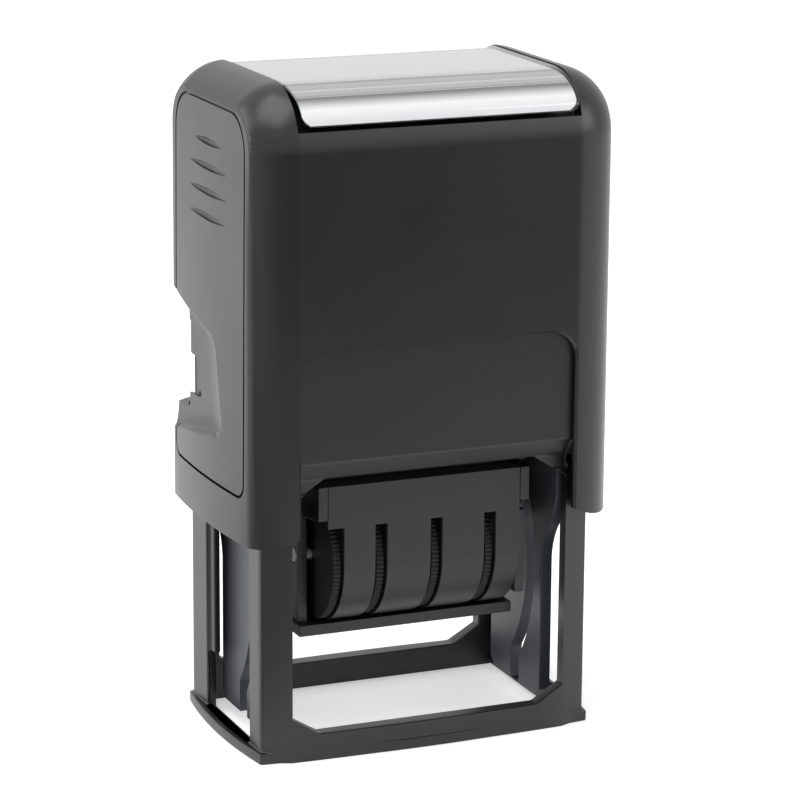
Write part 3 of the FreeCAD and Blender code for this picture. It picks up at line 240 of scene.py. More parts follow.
class SharedGroups:
    """Shader node groups that several finishes use."""

    _made: dict[str, bpy.types.NodeTree] = {}

    @classmethod
    def moulded_grain(cls) -> bpy.types.NodeTree:
        """Fine spark-eroded texture of a plastic mould, with a slow drift of gloss.

        Returns:
            A group with Vector, Size and Drift in, Height and Gloss out.
        """
        if "moulded_grain" in cls._made:
            return cls._made["moulded_grain"]
        sheet = cls.start("moulded_grain", {"Size": 9000.0, "Drift": 60.0}, ("Height", "Gloss"))
        given = sheet.add("NodeGroupInput").outputs
        fine = {"Vector": given["Vector"], "Scale": given["Size"]}
        grain = sheet.add("ShaderNodeTexNoise", {**fine, "Detail": 3.0})
        pits = sheet.add("ShaderNodeTexVoronoi", fine, feature="SMOOTH_F1")
        slow = sheet.add("ShaderNodeTexNoise", {**fine, "Scale": given["Drift"], "Detail": 4.0})
        total = sheet.count("ADD", grain.outputs["Fac"], pits.outputs["Distance"])
        sheet.add("NodeGroupOutput", {"Height": total, "Gloss": slow.outputs["Fac"]})
        return sheet.tree

    @classmethod
    def start(cls, name: str, inputs: dict[str, float], outputs: tuple[str, ...]) -> NodeSheet:
        """Starts a group, which always has a Vector in.

        Args:
            name: name of the group.
            inputs: its other inputs with their values.
            outputs: its outputs.

        Returns:
            The group's node sheet.
        """
        tree = cls._made[name] = bpy.data.node_groups.new(name, "ShaderNodeTree")
        tree.interface.new_socket("Vector", in_out="INPUT", socket_type="NodeSocketVector")
        for label, value in inputs.items():
            slot = tree.interface.new_socket(label, in_out="INPUT", socket_type="NodeSocketFloat")
            slot.default_value = value
        for label in outputs:
            tree.interface.new_socket(label, in_out="OUTPUT", socket_type="NodeSocketFloat")
        return NodeSheet(tree)

    @classmethod
    def drawn_lines(cls) -> bpy.types.NodeTree:
        """Fine lines along X that drawing or turning leaves on steel.

        Returns:
            A group with Vector in, Height and Streak out.
        """
        if "drawn_lines" in cls._made:
            return cls._made["drawn_lines"]
        sheet = cls.start("drawn_lines", {}, ("Height", "Streak"))
        given = sheet.add("NodeGroupInput").outputs["Vector"]
        stretch = sheet.add("ShaderNodeMapping", {"Vector": given, "Scale": (300.0, 9000.0, 9000.0)})
        lines = sheet.add("ShaderNodeTexNoise", {"Vector": stretch.outputs["Vector"], "Scale": 1.0})
        sheet.add("NodeGroupOutput", {"Height": lines.outputs["Fac"], "Streak": lines.outputs["Fac"]})
        return sheet.tree


@dataclass(frozen=True)
class Finish:
    """A material of the stamp."""

    name: str

    def build(self) -> bpy.types.Material:
        """Makes the material.

        Returns:
            The material with its nodes.
        """
        material, sheet, shader, place = NodeSheet.start(self.name)
        self.paint(sheet, shader, place)
        return material

    def paint(self, sheet: NodeSheet, shader: bpy.types.Node, place: bpy.types.NodeSocket) -> None:
        """Adds the nodes of this finish.

        Args:
            sheet: the material's node sheet.
            shader: its Principled BSDF.
            place: its Object coordinates.
        """
        raise NotImplementedError


@dataclass(frozen=True)
class MouldedPlastic(Finish):
    """Injection-moulded plastic with a fine satin texture."""

    colour: Tint
    roughness: float = 0.36
    gloss_drift: float = 0.05
    shade_drift: float = 0.12
    grain_size: float = 9000.0
    grain_depth: float = 0.00001
    specular: float = 0.5

    def paint(self, sheet: NodeSheet, shader: bpy.types.Node, place: bpy.types.NodeSocket) -> None:
        """Adds the nodes of this finish."""
        grain = sheet.add("ShaderNodeGroup", node_tree=SharedGroups.moulded_grain())
        sheet.fill(grain, {"Vector": place, "Size": self.grain_size})
        gloss = grain.outputs["Gloss"]
        shade = sheet.blend(gloss, self.colour, self.shade_drift)
        rough = sheet.add("ShaderNodeMapRange", {"Value": gloss, "To Min": self.roughness - self.gloss_drift,
                                                 "To Max": self.roughness + self.gloss_drift})
        sheet.fill(shader, {"Base Color": shade, "Roughness": rough.outputs["Result"],
                            "Specular IOR Level": self.specular})
        sheet.bump(grain.outputs["Height"], shader, 0.25, self.grain_depth)


@dataclass(frozen=True)
class ClearPlastic(Finish):
    """Thin clear moulded cover: lets light through and shines at flat angles."""

    tint: Tint
    roughness: float = 0.05
    ior: float = 1.35
    haze: float = 0.03
    ripple_depth: float = 0.000006

    def paint(self, sheet: NodeSheet, shader: bpy.types.Node, place: bpy.types.NodeSocket) -> None:
        """Adds the nodes of this finish."""
        ripple = sheet.add("ShaderNodeTexNoise", {"Vector": place, "Scale": 90.0})
        sheet.bump(ripple.outputs["Fac"], shader, 0.3, self.ripple_depth)
        shine = sheet.add("ShaderNodeFresnel", {"IOR": self.ior})
        veil = sheet.count("ADD", shine.outputs["Fac"], self.haze)
        outer = sheet.count("SUBTRACT", 1.0, sheet.add("ShaderNodeNewGeometry").outputs["Backfacing"])
        sheet.fill(shader, {"Base Color": self.tint.rgba(), "Metallic": 1.0, "Roughness": self.roughness,
                            "Alpha": sheet.count("MULTIPLY", veil, outer)})


@dataclass(frozen=True)
class PaintedShadeCardFinish(Finish):
    """White card painted with a grey line at its bends and a grey shade below them: painted shade and painted
    reflections of the clear cover over it.
    """

    paper: Tint
    bands: tuple[tuple[float, float], ...]
    reach: tuple[float, float] = (0.0105, 0.0205)

    def paint(self, sheet: NodeSheet, shader: bpy.types.Node, place: bpy.types.NodeSocket) -> None:
        """Adds the nodes of this finish."""
        near, far = self.reach
        away = sheet.count("ABSOLUTE", sheet.add("ShaderNodeSeparateXYZ", {"Vector": place}).outputs["Y"])
        span = sheet.add("ShaderNodeMapRange", {"Value": away, "From Min": near, "From Max": far})
        # The ramp paints the clear cover's shade and reflections onto the card as grey bands.
        ramp = sheet.add("ShaderNodeValToRGB", {"Fac": span.outputs["Result"]})
        stops = ramp.color_ramp.elements
        stops[0].color = self.paper.scaled(self.bands[0][1]).rgba()
        stops[1].color = self.paper.scaled(self.bands[-1][1]).rgba()
        for place_y, share in self.bands:
            stops.new((place_y - near) / (far - near)).color = self.paper.scaled(share).rgba()
        sheet.fill(shader, {"Base Color": ramp.outputs["Color"], "Roughness": 0.7})
        fibres = sheet.add("ShaderNodeTexNoise", {"Vector": place, "Scale": 2600.0})
        sheet.bump(fibres.outputs["Fac"], shader, 0.3, 0.00001)


@dataclass(frozen=True)
class FibreFinish(Finish):
    """Paper or felt: a fibrous surface with mottled colour."""

    colour: Tint
    roughness: float = 0.85
    fibre_size: float = 2600.0
    fibre_depth: float = 0.00004
    mottle: float = 0.06
    sheen: float = 0.0

    def paint(self, sheet: NodeSheet, shader: bpy.types.Node, place: bpy.types.NodeSocket) -> None:
        """Adds the nodes of this finish."""
        fibres = sheet.add("ShaderNodeTexNoise", {"Vector": place, "Scale": self.fibre_size, "Detail": 6.0})
        clouds = sheet.add("ShaderNodeTexNoise", {"Vector": place, "Scale": 120.0})
        shade = sheet.blend(clouds.outputs["Fac"], self.colour, self.mottle)
        sheet.fill(shader, {"Base Color": shade, "Roughness": self.roughness, "Sheen Weight": self.sheen})
        sheet.bump(fibres.outputs["Fac"], shader, 0.5, self.fibre_depth)


@dataclass(frozen=True)
class SteelFinish(Finish):
    """Drawn or turned steel."""

    colour: Tint
    roughness: float = 0.28
    gloss_drift: tuple[float, float] = (0.08, 0.12)

    def paint(self, sheet: NodeSheet, shader: bpy.types.Node, place: bpy.types.NodeSocket) -> None:
        """Adds the nodes of this finish."""
        lines = sheet.add("ShaderNodeGroup", node_tree=SharedGroups.drawn_lines())
        sheet.join(place, lines.inputs["Vector"])
        rough = sheet.add("ShaderNodeMapRange", {"Value": lines.outputs["Streak"],
                                                 "To Min": self.roughness - self.gloss_drift[0],
                                                 "To Max": self.roughness + self.gloss_drift[1]})
        sheet.fill(shader, {"Base Color": self.colour.rgba(), "Metallic": 1.0,
                            "Roughness": rough.outputs["Result"]})
        sheet.bump(lines.outputs["Height"], shader, 0.2, 0.000004)


@dataclass
class FinishShelf:
    """All finishes of the stamp, one for each slot of the record."""

    made: dict[Slot, bpy.types.Material] = field(default_factory=dict)

    def build(self) -> None:
        """Makes every material once."""
        finishes = {
            Slot.SHELL: MouldedPlastic("satin black casing", Tint(0.0060, 0.0064, 0.0078), roughness=0.3),
            Slot.FRAME: MouldedPlastic("satin black frame", Tint(0.0074, 0.0078, 0.0092), roughness=0.34),
            Slot.GUIDE: MouldedPlastic("grey guide plastic", Tint(0.045, 0.05, 0.06), roughness=0.42),
            Slot.ROCKER: MouldedPlastic("black rocker plastic", Tint(0.011, 0.011, 0.0125), roughness=0.42),
            Slot.WHEEL: MouldedPlastic("black wheel plastic", Tint(0.003, 0.003, 0.0035), roughness=0.6,
                                       specular=0.35),
            Slot.TRAY: MouldedPlastic("black tray plastic", Tint(0.014, 0.0145, 0.016), roughness=0.4),
            Slot.CLEAR: ClearPlastic("clear window", Tint(0.95, 0.955, 0.96)),
            Slot.CARD: PaintedShadeCardFinish("index card", Tint(0.84, 0.85, 0.86), PAINTED_CARD_SHADE_BANDS),
            Slot.STEEL: SteelFinish("bright steel", Tint(0.62, 0.62, 0.63)),
            Slot.FELT: FibreFinish("inked felt", Tint(0.012, 0.012, 0.02), sheen=0.2, mottle=0.25),
            Slot.RUBBER: MouldedPlastic("dark rubber", Tint(0.035, 0.028, 0.026), roughness=0.62,
                                        grain_size=3000.0, grain_depth=0.00002),
        }
        for slot, finish in finishes.items():
            self.made[slot] = finish.build()

    def dress(self, piece: bpy.types.Object, slot: Slot) -> None:
        """Gives a piece the finish of one slot.

        Args:
            piece: the object to dress.
            slot: which finish it gets.
        """
        piece.data.materials.clear()
        piece.data.materials.append(self.made[slot])

    def seat(self, piece: bpy.types.Object, node: str, body: Body, slot: Slot) -> None:
        """Dresses a piece, hangs it on its body, hides the CAD node that it replaces and logs it.

        Args:
            piece: the finished piece.
            node: the CAD node that it replaces.
            body: the body that it rides.
            slot: its slot.
        """
        self.dress(piece, slot)
        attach(piece, body.value)
        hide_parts(node)
        log.info("piece %s on %s", piece.name, body.value)


class Hand:
    """Small moves of the modeller's hand, done with operators."""

    @staticmethod
    def take(piece: bpy.types.Object) -> None:
        """Selects one object alone and makes it active."""
        bpy.ops.object.select_all(action="DESELECT")
        piece.select_set(True)
        bpy.context.view_layer.objects.active = piece

    @staticmethod
    def fresh(add: Callable[..., set[str]], **sizes: object) -> bpy.types.Object:
        """Adds a primitive with nothing else selected.

        Args:
            add: the operator that adds it.
            sizes: what the operator is told.

        Returns:
            The new object.
        """
        bpy.ops.object.select_all(action="DESELECT")
        add(**sizes)
        return bpy.context.view_layer.objects.active

    @staticmethod
    @contextmanager
    def editing(piece: bpy.types.Object, action: str = "SELECT") -> Iterator[None]:
        """Works on a piece in edit mode, with all or nothing of it selected.

        Args:
            piece: the mesh object.
            action: SELECT or DESELECT.
        """
        Hand.take(piece)
        bpy.ops.object.mode_set(mode="EDIT")
        bpy.ops.mesh.select_all(action=action)
        yield
        bpy.ops.object.mode_set(mode="OBJECT")

    @staticmethod
    def draw_out(piece: bpy.types.Object, way: float) -> None:
        """Draws a flat piece out along X into a closed body.

        Args:
            piece: the flat piece.
            way: how far, with its sign.
        """
        with Hand.editing(piece):
            bpy.ops.mesh.extrude_region_move(TRANSFORM_OT_translate={"value": (way, 0.0, 0.0)})
            bpy.ops.mesh.select_all(action="SELECT")
            bpy.ops.mesh.normals_make_consistent(inside=False)

    @staticmethod
    def settle(piece: bpy.types.Object) -> None:
        """Moves the object's place into its mesh, so that it sits at the origin."""
        Hand.take(piece)
        bpy.ops.object.transform_apply(location=True, rotation=True, scale=True)

    @staticmethod
    def apply_modifiers(piece: bpy.types.Object) -> None:
        """Applies all modifiers in their order."""
        Hand.take(piece)
        for modifier in list(piece.modifiers):
            bpy.ops.object.modifier_apply(modifier=modifier.name)

    @staticmethod
    def prism(outline: list[tuple[float, float]], low: float, high: float) -> bpy.types.Object:
        """Draws an outline over Y and Z and draws it out along X.

        Args:
            outline: the corners in order.
            low: where the prism starts in X.
            high: where it ends in X.

        Returns:
            The closed prism.
        """
        piece = Hand.fresh(bpy.ops.mesh.primitive_circle_add, vertices=len(outline),
                           radius=1.0, fill_type="NGON")
        for spot, (across, height) in zip(piece.data.vertices, outline):
            spot.co = (low, across, height)
        Hand.draw_out(piece, high - low)
        return piece

    @staticmethod
    def carve(piece: bpy.types.Object, cutter: bpy.types.Object) -> None:
        """Cuts a body out of a piece and throws the body away.

        Args:
            piece: what is cut.
            cutter: the body that goes out of it.
        """
        cut = piece.modifiers.new("cut", "BOOLEAN")
        cut.operation, cut.solver, cut.object = "DIFFERENCE", "EXACT", cutter
        Hand.apply_modifiers(piece)
        bpy.data.objects.remove(cutter, do_unlink=True)

    @staticmethod
    def smooth(piece: bpy.types.Object, angle_deg: float = 32.0) -> None:
        """Shades the piece smooth except at sharp corners.

        Args:
            piece: the mesh object.
            angle_deg: corners above this angle stay sharp.
        """
        Hand.take(piece)
        bpy.ops.object.shade_smooth_by_angle(angle=math.radians(angle_deg))


@dataclass
class EdgedCopy:
    """A copy of a CAD node with its sharp edges slightly rounded, as a mould leaves them."""

    node: str
    body: Body
    slot: Slot
    edge: float = 0.22 * MILLIMETRE
    sharp_deg: float = 30.0
    segments: int = 2
    room_share: float = 0.42
    least_share: float = 0.3
    weld: float = 0.002 * MILLIMETRE
    flat_deg: float = 0.4
    run_on: float = 0.6
    shade_margin_deg: float = 8.0

    def build(self, frame: dict, shelf: FinishShelf) -> bpy.types.Object:
        """Makes the copy, dresses it and puts it in the node's place.

        Args:
            shelf: the finishes.

        Returns:
            The new piece.
        """
        piece = self.merged_copy(frame)
        self.shape(piece)
        self.round_edges(piece)
        Hand.smooth(piece, self.sharp_deg + self.shade_margin_deg)
        even = piece.modifiers.new("even shading", "WEIGHTED_NORMAL")
        even.keep_sharp = True
        Hand.apply_modifiers(piece)
        shelf.seat(piece, self.node, self.body, self.slot)
        return piece

    def merged_copy(self, frame: dict) -> bpy.types.Object:
        """Copies the node's mesh and joins its loose triangles.


        Returns:
            The copy, before any work on it.
        """
        source = frame["nodes"][self.node]
        piece = bpy.data.objects.new(f"{self.node}_moulded", source.data.copy())
        bpy.context.scene.collection.objects.link(piece)
        with Hand.editing(piece):
            bpy.ops.mesh.customdata_custom_splitnormals_clear()
            bpy.ops.mesh.remove_doubles(threshold=self.weld)
            bpy.ops.mesh.dissolve_limited(angle_limit=math.radians(self.flat_deg))
        return piece

    def shape(self, piece: bpy.types.Object) -> None:
        """Work on the copy before its edges are rounded; a plain copy needs none."""

    def round_edges(self, piece: bpy.types.Object) -> None:
        """Rounds the sharp edges, each as far as the faces beside it have room for.

        Args:
            piece: the closed mesh whose edges are rounded.
        """
        work = bmesh.new()
        work.from_mesh(piece.data)
        bmesh.ops.remove_doubles(work, verts=work.verts, dist=self.weld / 4)
        layer = work.edges.layers.float.new("bevel_weight_edge")
        limit = math.radians(self.sharp_deg)
        crisp = {edge for edge in work.edges
                 if len(edge.link_faces) == 2 and edge.calc_face_angle() > limit}
        for chain in self.chains(crisp):
            room = min(self.room(edge, crisp) for edge in chain)
            for edge in chain:
                edge[layer] = room / self.edge if room > self.least_share * self.edge else 0.0
        work.to_mesh(piece.data)
        work.free()
        rounding = piece.modifiers.new("rounded edges", "BEVEL")
        rounding.width = self.edge
        rounding.segments = self.segments
        rounding.limit_method = "WEIGHT"
        rounding.use_clamp_overlap = False
        rounding.harden_normals = False
        Hand.apply_modifiers(piece)

    def room(self, edge: bmesh.types.BMEdge, crisp: set[bmesh.types.BMEdge]) -> float:
        """Room for the rounding beside one edge.

        Args:
            edge: the edge.
            crisp: all edges that are rounded.

        Returns:
            How far the rounding may reach from the edge; none where this piece keeps an edge sharp.
        """
        if self.keeps_sharp((edge.verts[0].co + edge.verts[1].co) / 2):
            return 0.0
        beside = [other.calc_length() for spot in edge.verts for other in spot.link_edges
                  if other not in crisp]
        return min([self.edge] + [self.room_share * length for length in beside])

    def keeps_sharp(self, place: Vector) -> bool:
        """Whether the piece's edges stay sharp at a place."""
        return False

    def chains(self, crisp: set[bmesh.types.BMEdge]) -> list[list[bmesh.types.BMEdge]]:
        """Gathers the edges that run on into one another.

        Args:
            crisp: all edges that are rounded.

        Returns:
            Lists of edges, each one smooth line.
        """
        left, found = set(crisp), []
        while left:
            queue = [left.pop()]
            chain = []
            while queue:
                edge = queue.pop()
                chain.append(edge)
                for spot in edge.verts:
                    way = edge.other_vert(spot).co - spot.co
                    for other in spot.link_edges:
                        turn = (spot.co - other.other_vert(spot).co).angle(way, 0.0)
                        if other in left and turn < self.run_on:
                            left.discard(other)
                            queue.append(other)
            found.append(chain)
        return found


@dataclass
class ShellCopy(EdgedCopy):
    """The casing's shell, with its two side recesses and their openings hollowed by hand."""

    side_foot: tuple[float, float] = (30.75 * MILLIMETRE, 47.0 * MILLIMETRE)
    side_draft: float = 0.0191
    side_bow: float = 0.00283 / MILLIMETRE
    bow_fade: float = 0.000045 / MILLIMETRE ** 2
    floor_width: float = 28.55 * MILLIMETRE
    outer_width: float = 32.4 * MILLIMETRE
    cutter_reach: float = 8.0 * MILLIMETRE
    scoop_steps: tuple[int, int] = (66, 60)
    scoop_back: float = 24.0 * MILLIMETRE
    front_run: float = 10.0 * MILLIMETRE
    top_run: float = 3.0 * MILLIMETRE
    low_run: float = 5.0 * MILLIMETRE
    front_low: tuple[float, float] = (-7.0 * MILLIMETRE, 52.0 * MILLIMETRE)
    front_high: tuple[float, float] = (-3.6 * MILLIMETRE, 65.0 * MILLIMETRE)
    top_slope: float = 0.2
    low_slope: float = -0.19
    top_level: float = 65.9 * MILLIMETRE
    low_level: float = 49.45 * MILLIMETRE
    corner_blend: float = 1.6 * MILLIMETRE
    row_margin: float = 0.25
    lift_slope: float = 3.0
    lift_limit: float = 1.5 * MILLIMETRE
    rounds: int = 6
    opening_mm: tuple[tuple[float, float], ...] = (
        (7.7, 53.4), (8.2, 52.9), (14.0, 52.7), (14.0, 64.8), (10.5, 63.9), (8.3, 62.2), (7.7, 61.0))
    inner_width: float = 22.75 * MILLIMETRE
    back_corner_mm: tuple[tuple[float, float], ...] = (
        (19.0, 58.0), (21.6, 58.0), (21.6, 65.6), (19.0, 65.6))
    back_corner_widths: tuple[float, float] = (18.3 * MILLIMETRE, 23.0 * MILLIMETRE)
    recess_reach: float = 28.5 * MILLIMETRE
    rim_reach: tuple[float, float] = (19.0 * MILLIMETRE, 70.0 * MILLIMETRE)

    def keeps_sharp(self, place: Vector) -> bool:
        """Keeps the fine edges of the recesses and grips and the rims of the cut-outs sharp."""
        rim = abs(place.y) > self.rim_reach[0] and place.z < self.rim_reach[1]
        return abs(place.x) > self.recess_reach or rim

    def shape(self, piece: bpy.types.Object) -> None:
        """Hollows both sides, opens their walls to the front and trims the back wall's thin corners."""
        for side in (-1, 1):
            Hand.carve(piece, self.scoop(side))
            for outline_mm, widths in ((self.opening_mm, (self.inner_width, self.outer_width)),
                                       (self.back_corner_mm, self.back_corner_widths)):
                outline = [(y * MILLIMETRE, z * MILLIMETRE) for y, z in outline_mm]
                low, high = sorted(side * width for width in widths)
                Hand.carve(piece, Hand.prism(outline, low, high))

    def scoop(self, side: int) -> bpy.types.Object:
        """Makes the body that hollows one side recess, with soft runs down to its floor.

        Args:
            side: -1 for the left side, 1 for the right.

        Returns:
            The cutting body.
        """
        columns, rows = self.scoop_steps
        cutter = Hand.fresh(bpy.ops.mesh.primitive_grid_add, x_subdivisions=columns,
                            y_subdivisions=rows, size=1.0)
        for spot in cutter.data.vertices:
            across, height = self.place_in_recess(spot.co.x + 0.5, spot.co.y + 0.5)
            spot.co = (side * self.scooped(across, height), across, height)
        Hand.draw_out(cutter, side * self.cutter_reach)
        return cutter

    def edges_at(self, across: float, height: float) -> tuple[float, float, float]:
        """Where the recess ends around a place: its front edge, its lower and its upper edge."""
        (low_y, low_z), (high_y, high_z) = self.front_low, self.front_high
        front = low_y + (high_y - low_y) * (height - low_z) / (high_z - low_z)
        return front, self.low_level + self.low_slope * across, self.top_level + self.top_slope * across

    def place_in_recess(self, along: float, up: float) -> tuple[float, float]:
        """Turns a place on the cutter's grid into one on the casing's side; the rows follow the edges.

        Args:
            along: share of the grid's length, from the front.
            up: share of its height, from below.

        Returns:
            The distance behind the middle and the height above the desk.
        """
        margin = 2.0 / self.scoop_steps[0]
        across, height = along * self.scoop_back, (self.low_level + self.top_level) / 2
        for _ in range(self.rounds):
            front, low, top = self.edges_at(across, height)
            if along < margin:
                across = front - (1.0 - along / margin) * MILLIMETRE
            else:
                across = front + (along - margin) / (1.0 - margin) * (self.scoop_back - front)
            height = low + ((1.0 + 2.0 * self.row_margin) * up - self.row_margin) * (top - low)
        return across, height

    def scooped(self, across: float, height: float) -> float:
        """How far out the hollowed side lies at a place; outside the recess it clears the casing.

        Args:
            across: distance behind the middle.
            height: height above the desk.

        Returns:
            The distance from the middle plane.
        """
        rise = height - self.side_foot[1]
        bow = (self.side_bow - self.bow_fade * rise) * across ** 2
        side = self.side_foot[0] - self.side_draft * rise - bow
        front_edge, low_edge, top_edge = self.edges_at(across, height)
        walls = (across - front_edge, top_edge - height, height - low_edge)
        blend = self.corner_blend
        inside = min(walls)
        if inside < blend:
            inside = blend - math.sqrt(sum(max(blend - wall, 0.0) ** 2 for wall in walls))
        if inside < 0.0:
            return side + min(-self.lift_slope * inside, self.lift_limit)
        share = 1.0
        for wall, run in zip(walls, (self.front_run, self.top_run, self.low_run)):
            part = 1.0 - min((inside if wall < blend else wall) / run, 1.0)
            share *= math.sqrt(max(1.0 - part * part, 0.0))
        return side - share * (side - self.floor_width)


@dataclass
class Casing:
    """The outer casing that is pushed down, with its window and stirrup."""

    edge: float = 0.3 * MILLIMETRE

    def build(self, frame: dict, shelf: FinishShelf) -> None:
        """Builds and dresses the casing's pieces.

        Args:
            shelf: the finishes.
        """
        ShellCopy("cap_shell", Body.CAP, Slot.SHELL, self.edge).build(frame, shelf)
        EdgedCopy("drive_stirrup", Body.CAP, Slot.FRAME).build(frame, shelf)
        IndexWindow().build(shelf)


@dataclass
class IndexWindow:
    """The clear cover on the crown and the card under it."""

    crown_radius: float = 10.0 * MILLIMETRE
    cover_set: float = 0.12 * MILLIMETRE
    cover_thick: float = 0.45 * MILLIMETRE
    card_set: float = 0.62 * MILLIMETRE
    card_thick: float = 0.3 * MILLIMETRE
    side_set: float = 0.25 * MILLIMETRE
    low_set: float = 0.55 * MILLIMETRE
    corner: float = 1.8 * MILLIMETRE
    bend_steps: int = 16
    corner_steps: int = 6
    card_in: tuple[float, float] = (2.0, 1.2)
    smooth_deg: float = 40.0

    def build(self, shelf: FinishShelf) -> None:
        """Builds and dresses the cover and the card.

        Args:
            shelf: the finishes.
        """
        cover = self.wrap("index_window_cover", self.cover_set, self.cover_thick, self.side_set, self.low_set)
        card = self.wrap("index_card_sheet", self.card_set, self.card_thick,
                         self.card_in[0] * self.side_set, self.card_in[1] * self.low_set)
        for piece, node, body, slot in ((cover, "index_window", Body.WINDOW, Slot.CLEAR),
                                        (card, "index_card", Body.CAP, Slot.CARD)):
            Hand.smooth(piece, self.smooth_deg)
            shelf.seat(piece, node, body, slot)

    def wrap(self, name: str, depth: float, thick: float, side_in: float, low_in: float) -> bpy.types.Object:
        """Makes a sheet that follows the crown at a depth, with rounded lower corners.

        Args:
            name: name of the piece.
            depth: how far the sheet's outer face lies under the crown.
            thick: thickness of the sheet.
            side_in: how far it stops short of the window's sides.
            low_in: how far it stops above the window's lower edge.

        Returns:
            The new piece.
        """
        low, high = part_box("index_window")
        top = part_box("cap_shell")[1].z - depth
        radius = self.crown_radius - depth
        half_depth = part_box("cap_shell")[1].y - depth
        size = ((high.x - low.x) - 2 * side_in, 2 * half_depth, top - low.z - low_in)
        piece = Hand.fresh(bpy.ops.mesh.primitive_cube_add, size=1.0, location=(0.0, 0.0, top - size[2] / 2))
        piece.name = name
        piece.scale = size
        Hand.settle(piece)
        self.leave_top_and_ends(piece)
        self.round_bends(piece, top, half_depth, radius)
        self.round_corners(piece, top - size[2])
        wall = piece.modifiers.new("wall", "SOLIDIFY")
        wall.thickness, wall.offset = thick, -1.0
        Hand.apply_modifiers(piece)
        return piece

    @staticmethod
    def leave_top_and_ends(piece: bpy.types.Object) -> None:
        """Deletes the block's floor and its two side walls."""
        with Hand.editing(piece, "DESELECT"):
            bpy.ops.mesh.select_mode(type="FACE")
        for face in piece.data.polygons:
            face.select = face.normal.z < -0.5 or abs(face.normal.x) > 0.5
        bpy.ops.object.mode_set(mode="EDIT")
        bpy.ops.mesh.delete(type="FACE")
        bpy.ops.object.mode_set(mode="OBJECT")

    def round_bends(self, piece: bpy.types.Object, top: float, half_depth: float, radius: float) -> None:
        """Rounds the two long edges where the top turns down to the front and the back."""
        with Hand.editing(piece, "DESELECT"):
            bpy.ops.mesh.select_mode(type="EDGE")
        near = 0.01 * MILLIMETRE
        for edge in piece.data.edges:
            first, last = (piece.data.vertices[i].co for i in edge.vertices)
            edge.select = abs(first.x - last.x) > near and all(
                abs(spot.z - top) < near and abs(abs(spot.y) - half_depth) < near for spot in (first, last))
        bpy.ops.object.mode_set(mode="EDIT")
        bpy.ops.mesh.bevel(offset=radius, offset_type="OFFSET", segments=self.bend_steps, profile=0.5,
                           clamp_overlap=False)
        bpy.ops.mesh.select_all(action="SELECT")
        bpy.ops.mesh.remove_doubles(threshold=near / 5)
        bpy.ops.mesh.select_all(action="DESELECT")
        bpy.ops.object.mode_set(mode="OBJECT")

    def round_corners(self, piece: bpy.types.Object, floor: float) -> None:
        """Cuts the sheet's lower corners round."""
        width = max(spot.co.x for spot in piece.data.vertices)
        turn = math.radians(90.0 / self.corner_steps)
        for side in (-1, 1):
            hub = Vector((side * (width - self.corner), 0.0, floor + self.corner))
            for step in range(self.corner_steps):
                lean = (step + 0.5) * turn
                way = Vector((side * math.cos(lean), 0.0, -math.sin(lean)))
                with Hand.editing(piece):
                    bpy.ops.mesh.bisect(plane_co=hub + way * self.corner, plane_no=way, clear_outer=True)


@dataclass
class BaseFrame:
    """The fixed frame with its guides."""

    edge: float = 0.3 * MILLIMETRE

    def build(self, frame: dict, shelf: FinishShelf) -> None:
        """Builds and dresses the frame's pieces.

        Args:
            shelf: the finishes.
        """
        EdgedCopy("base_frame", Body.FRAME, Slot.FRAME, self.edge).build(frame, shelf)
        for node in ("guide_deck", "spring_seat"):
            EdgedCopy(node, Body.FRAME, Slot.FRAME).build(frame, shelf)
        for side in ("left", "right"):
            EdgedCopy(f"guide_cheek_{side}", Body.FRAME, Slot.GUIDE).build(frame, shelf)


@dataclass
class ReturnSpring:
    """The coil spring between the seat and the stirrup."""

    radius: float = 6.0 * MILLIMETRE
    wire: float = 0.5 * MILLIMETRE
    turns: float = 8.0
    closed_turns: float = 1.0
    stations_per_turn: int = 24
    kept_share: float = 0.41
    end_pitch: float = 2.2
    smooth_deg: float = 50.0

    def centre_line(self, low: float, high: float) -> list[Vector]:
        """Points along the wire, with closed turns at both ends.

        Args:
            low: height of the wire's lowest centre.
            high: height of its highest centre.

        Returns:
            The points from bottom to top.
        """
        count = int(self.turns * self.stations_per_turn)
        pitch_end = self.end_pitch * self.wire
        points = []
        for step in range(count + 1):
            turn = self.turns * step / count
            near = min(turn, self.turns - turn, self.closed_turns)
            share = (turn - self.closed_turns) / (self.turns - 2 * self.closed_turns)
            share = min(max(share, 0.0), 1.0)
            height = low + pitch_end + (high - low - 2 * pitch_end) * share
            if turn < self.closed_turns:
                height = low + pitch_end * near / self.closed_turns
            elif turn > self.turns - self.closed_turns:
                height = high - pitch_end * near / self.closed_turns
            angle = 2 * math.pi * turn
            points.append(Vector((self.radius * math.cos(angle), self.radius * math.sin(angle), height)))
        return points

    def build(self, shelf: FinishShelf) -> None:
        """Winds the spring.

        Args:
            shelf: the finishes.
        """
        low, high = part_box("return_spring")
        line = bpy.data.curves.new("return_spring_line", "CURVE")
        line.dimensions = "3D"
        line.bevel_depth = self.wire
        line.bevel_resolution = 3
        line.use_fill_caps = True
        points = self.centre_line(low.z + self.wire, high.z - self.wire)
        spline = line.splines.new("NURBS")
        spline.points.add(len(points) - 1)
        for point, place in zip(spline.points, points):
            point.co = (*place, 1.0)
        spline.order_u = 4
        spline.use_endpoint_u = True
        spline.resolution_u = 2
        piece = bpy.data.objects.new("return_spring_wire", line)
        bpy.context.scene.collection.objects.link(piece)
        Hand.take(piece)
        bpy.ops.object.convert(target="MESH")
        piece = bpy.context.view_layer.objects.active
        Hand.smooth(piece, self.smooth_deg)
        shelf.seat(piece, "return_spring", Body.FRAME, Slot.STEEL)
        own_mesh(piece)


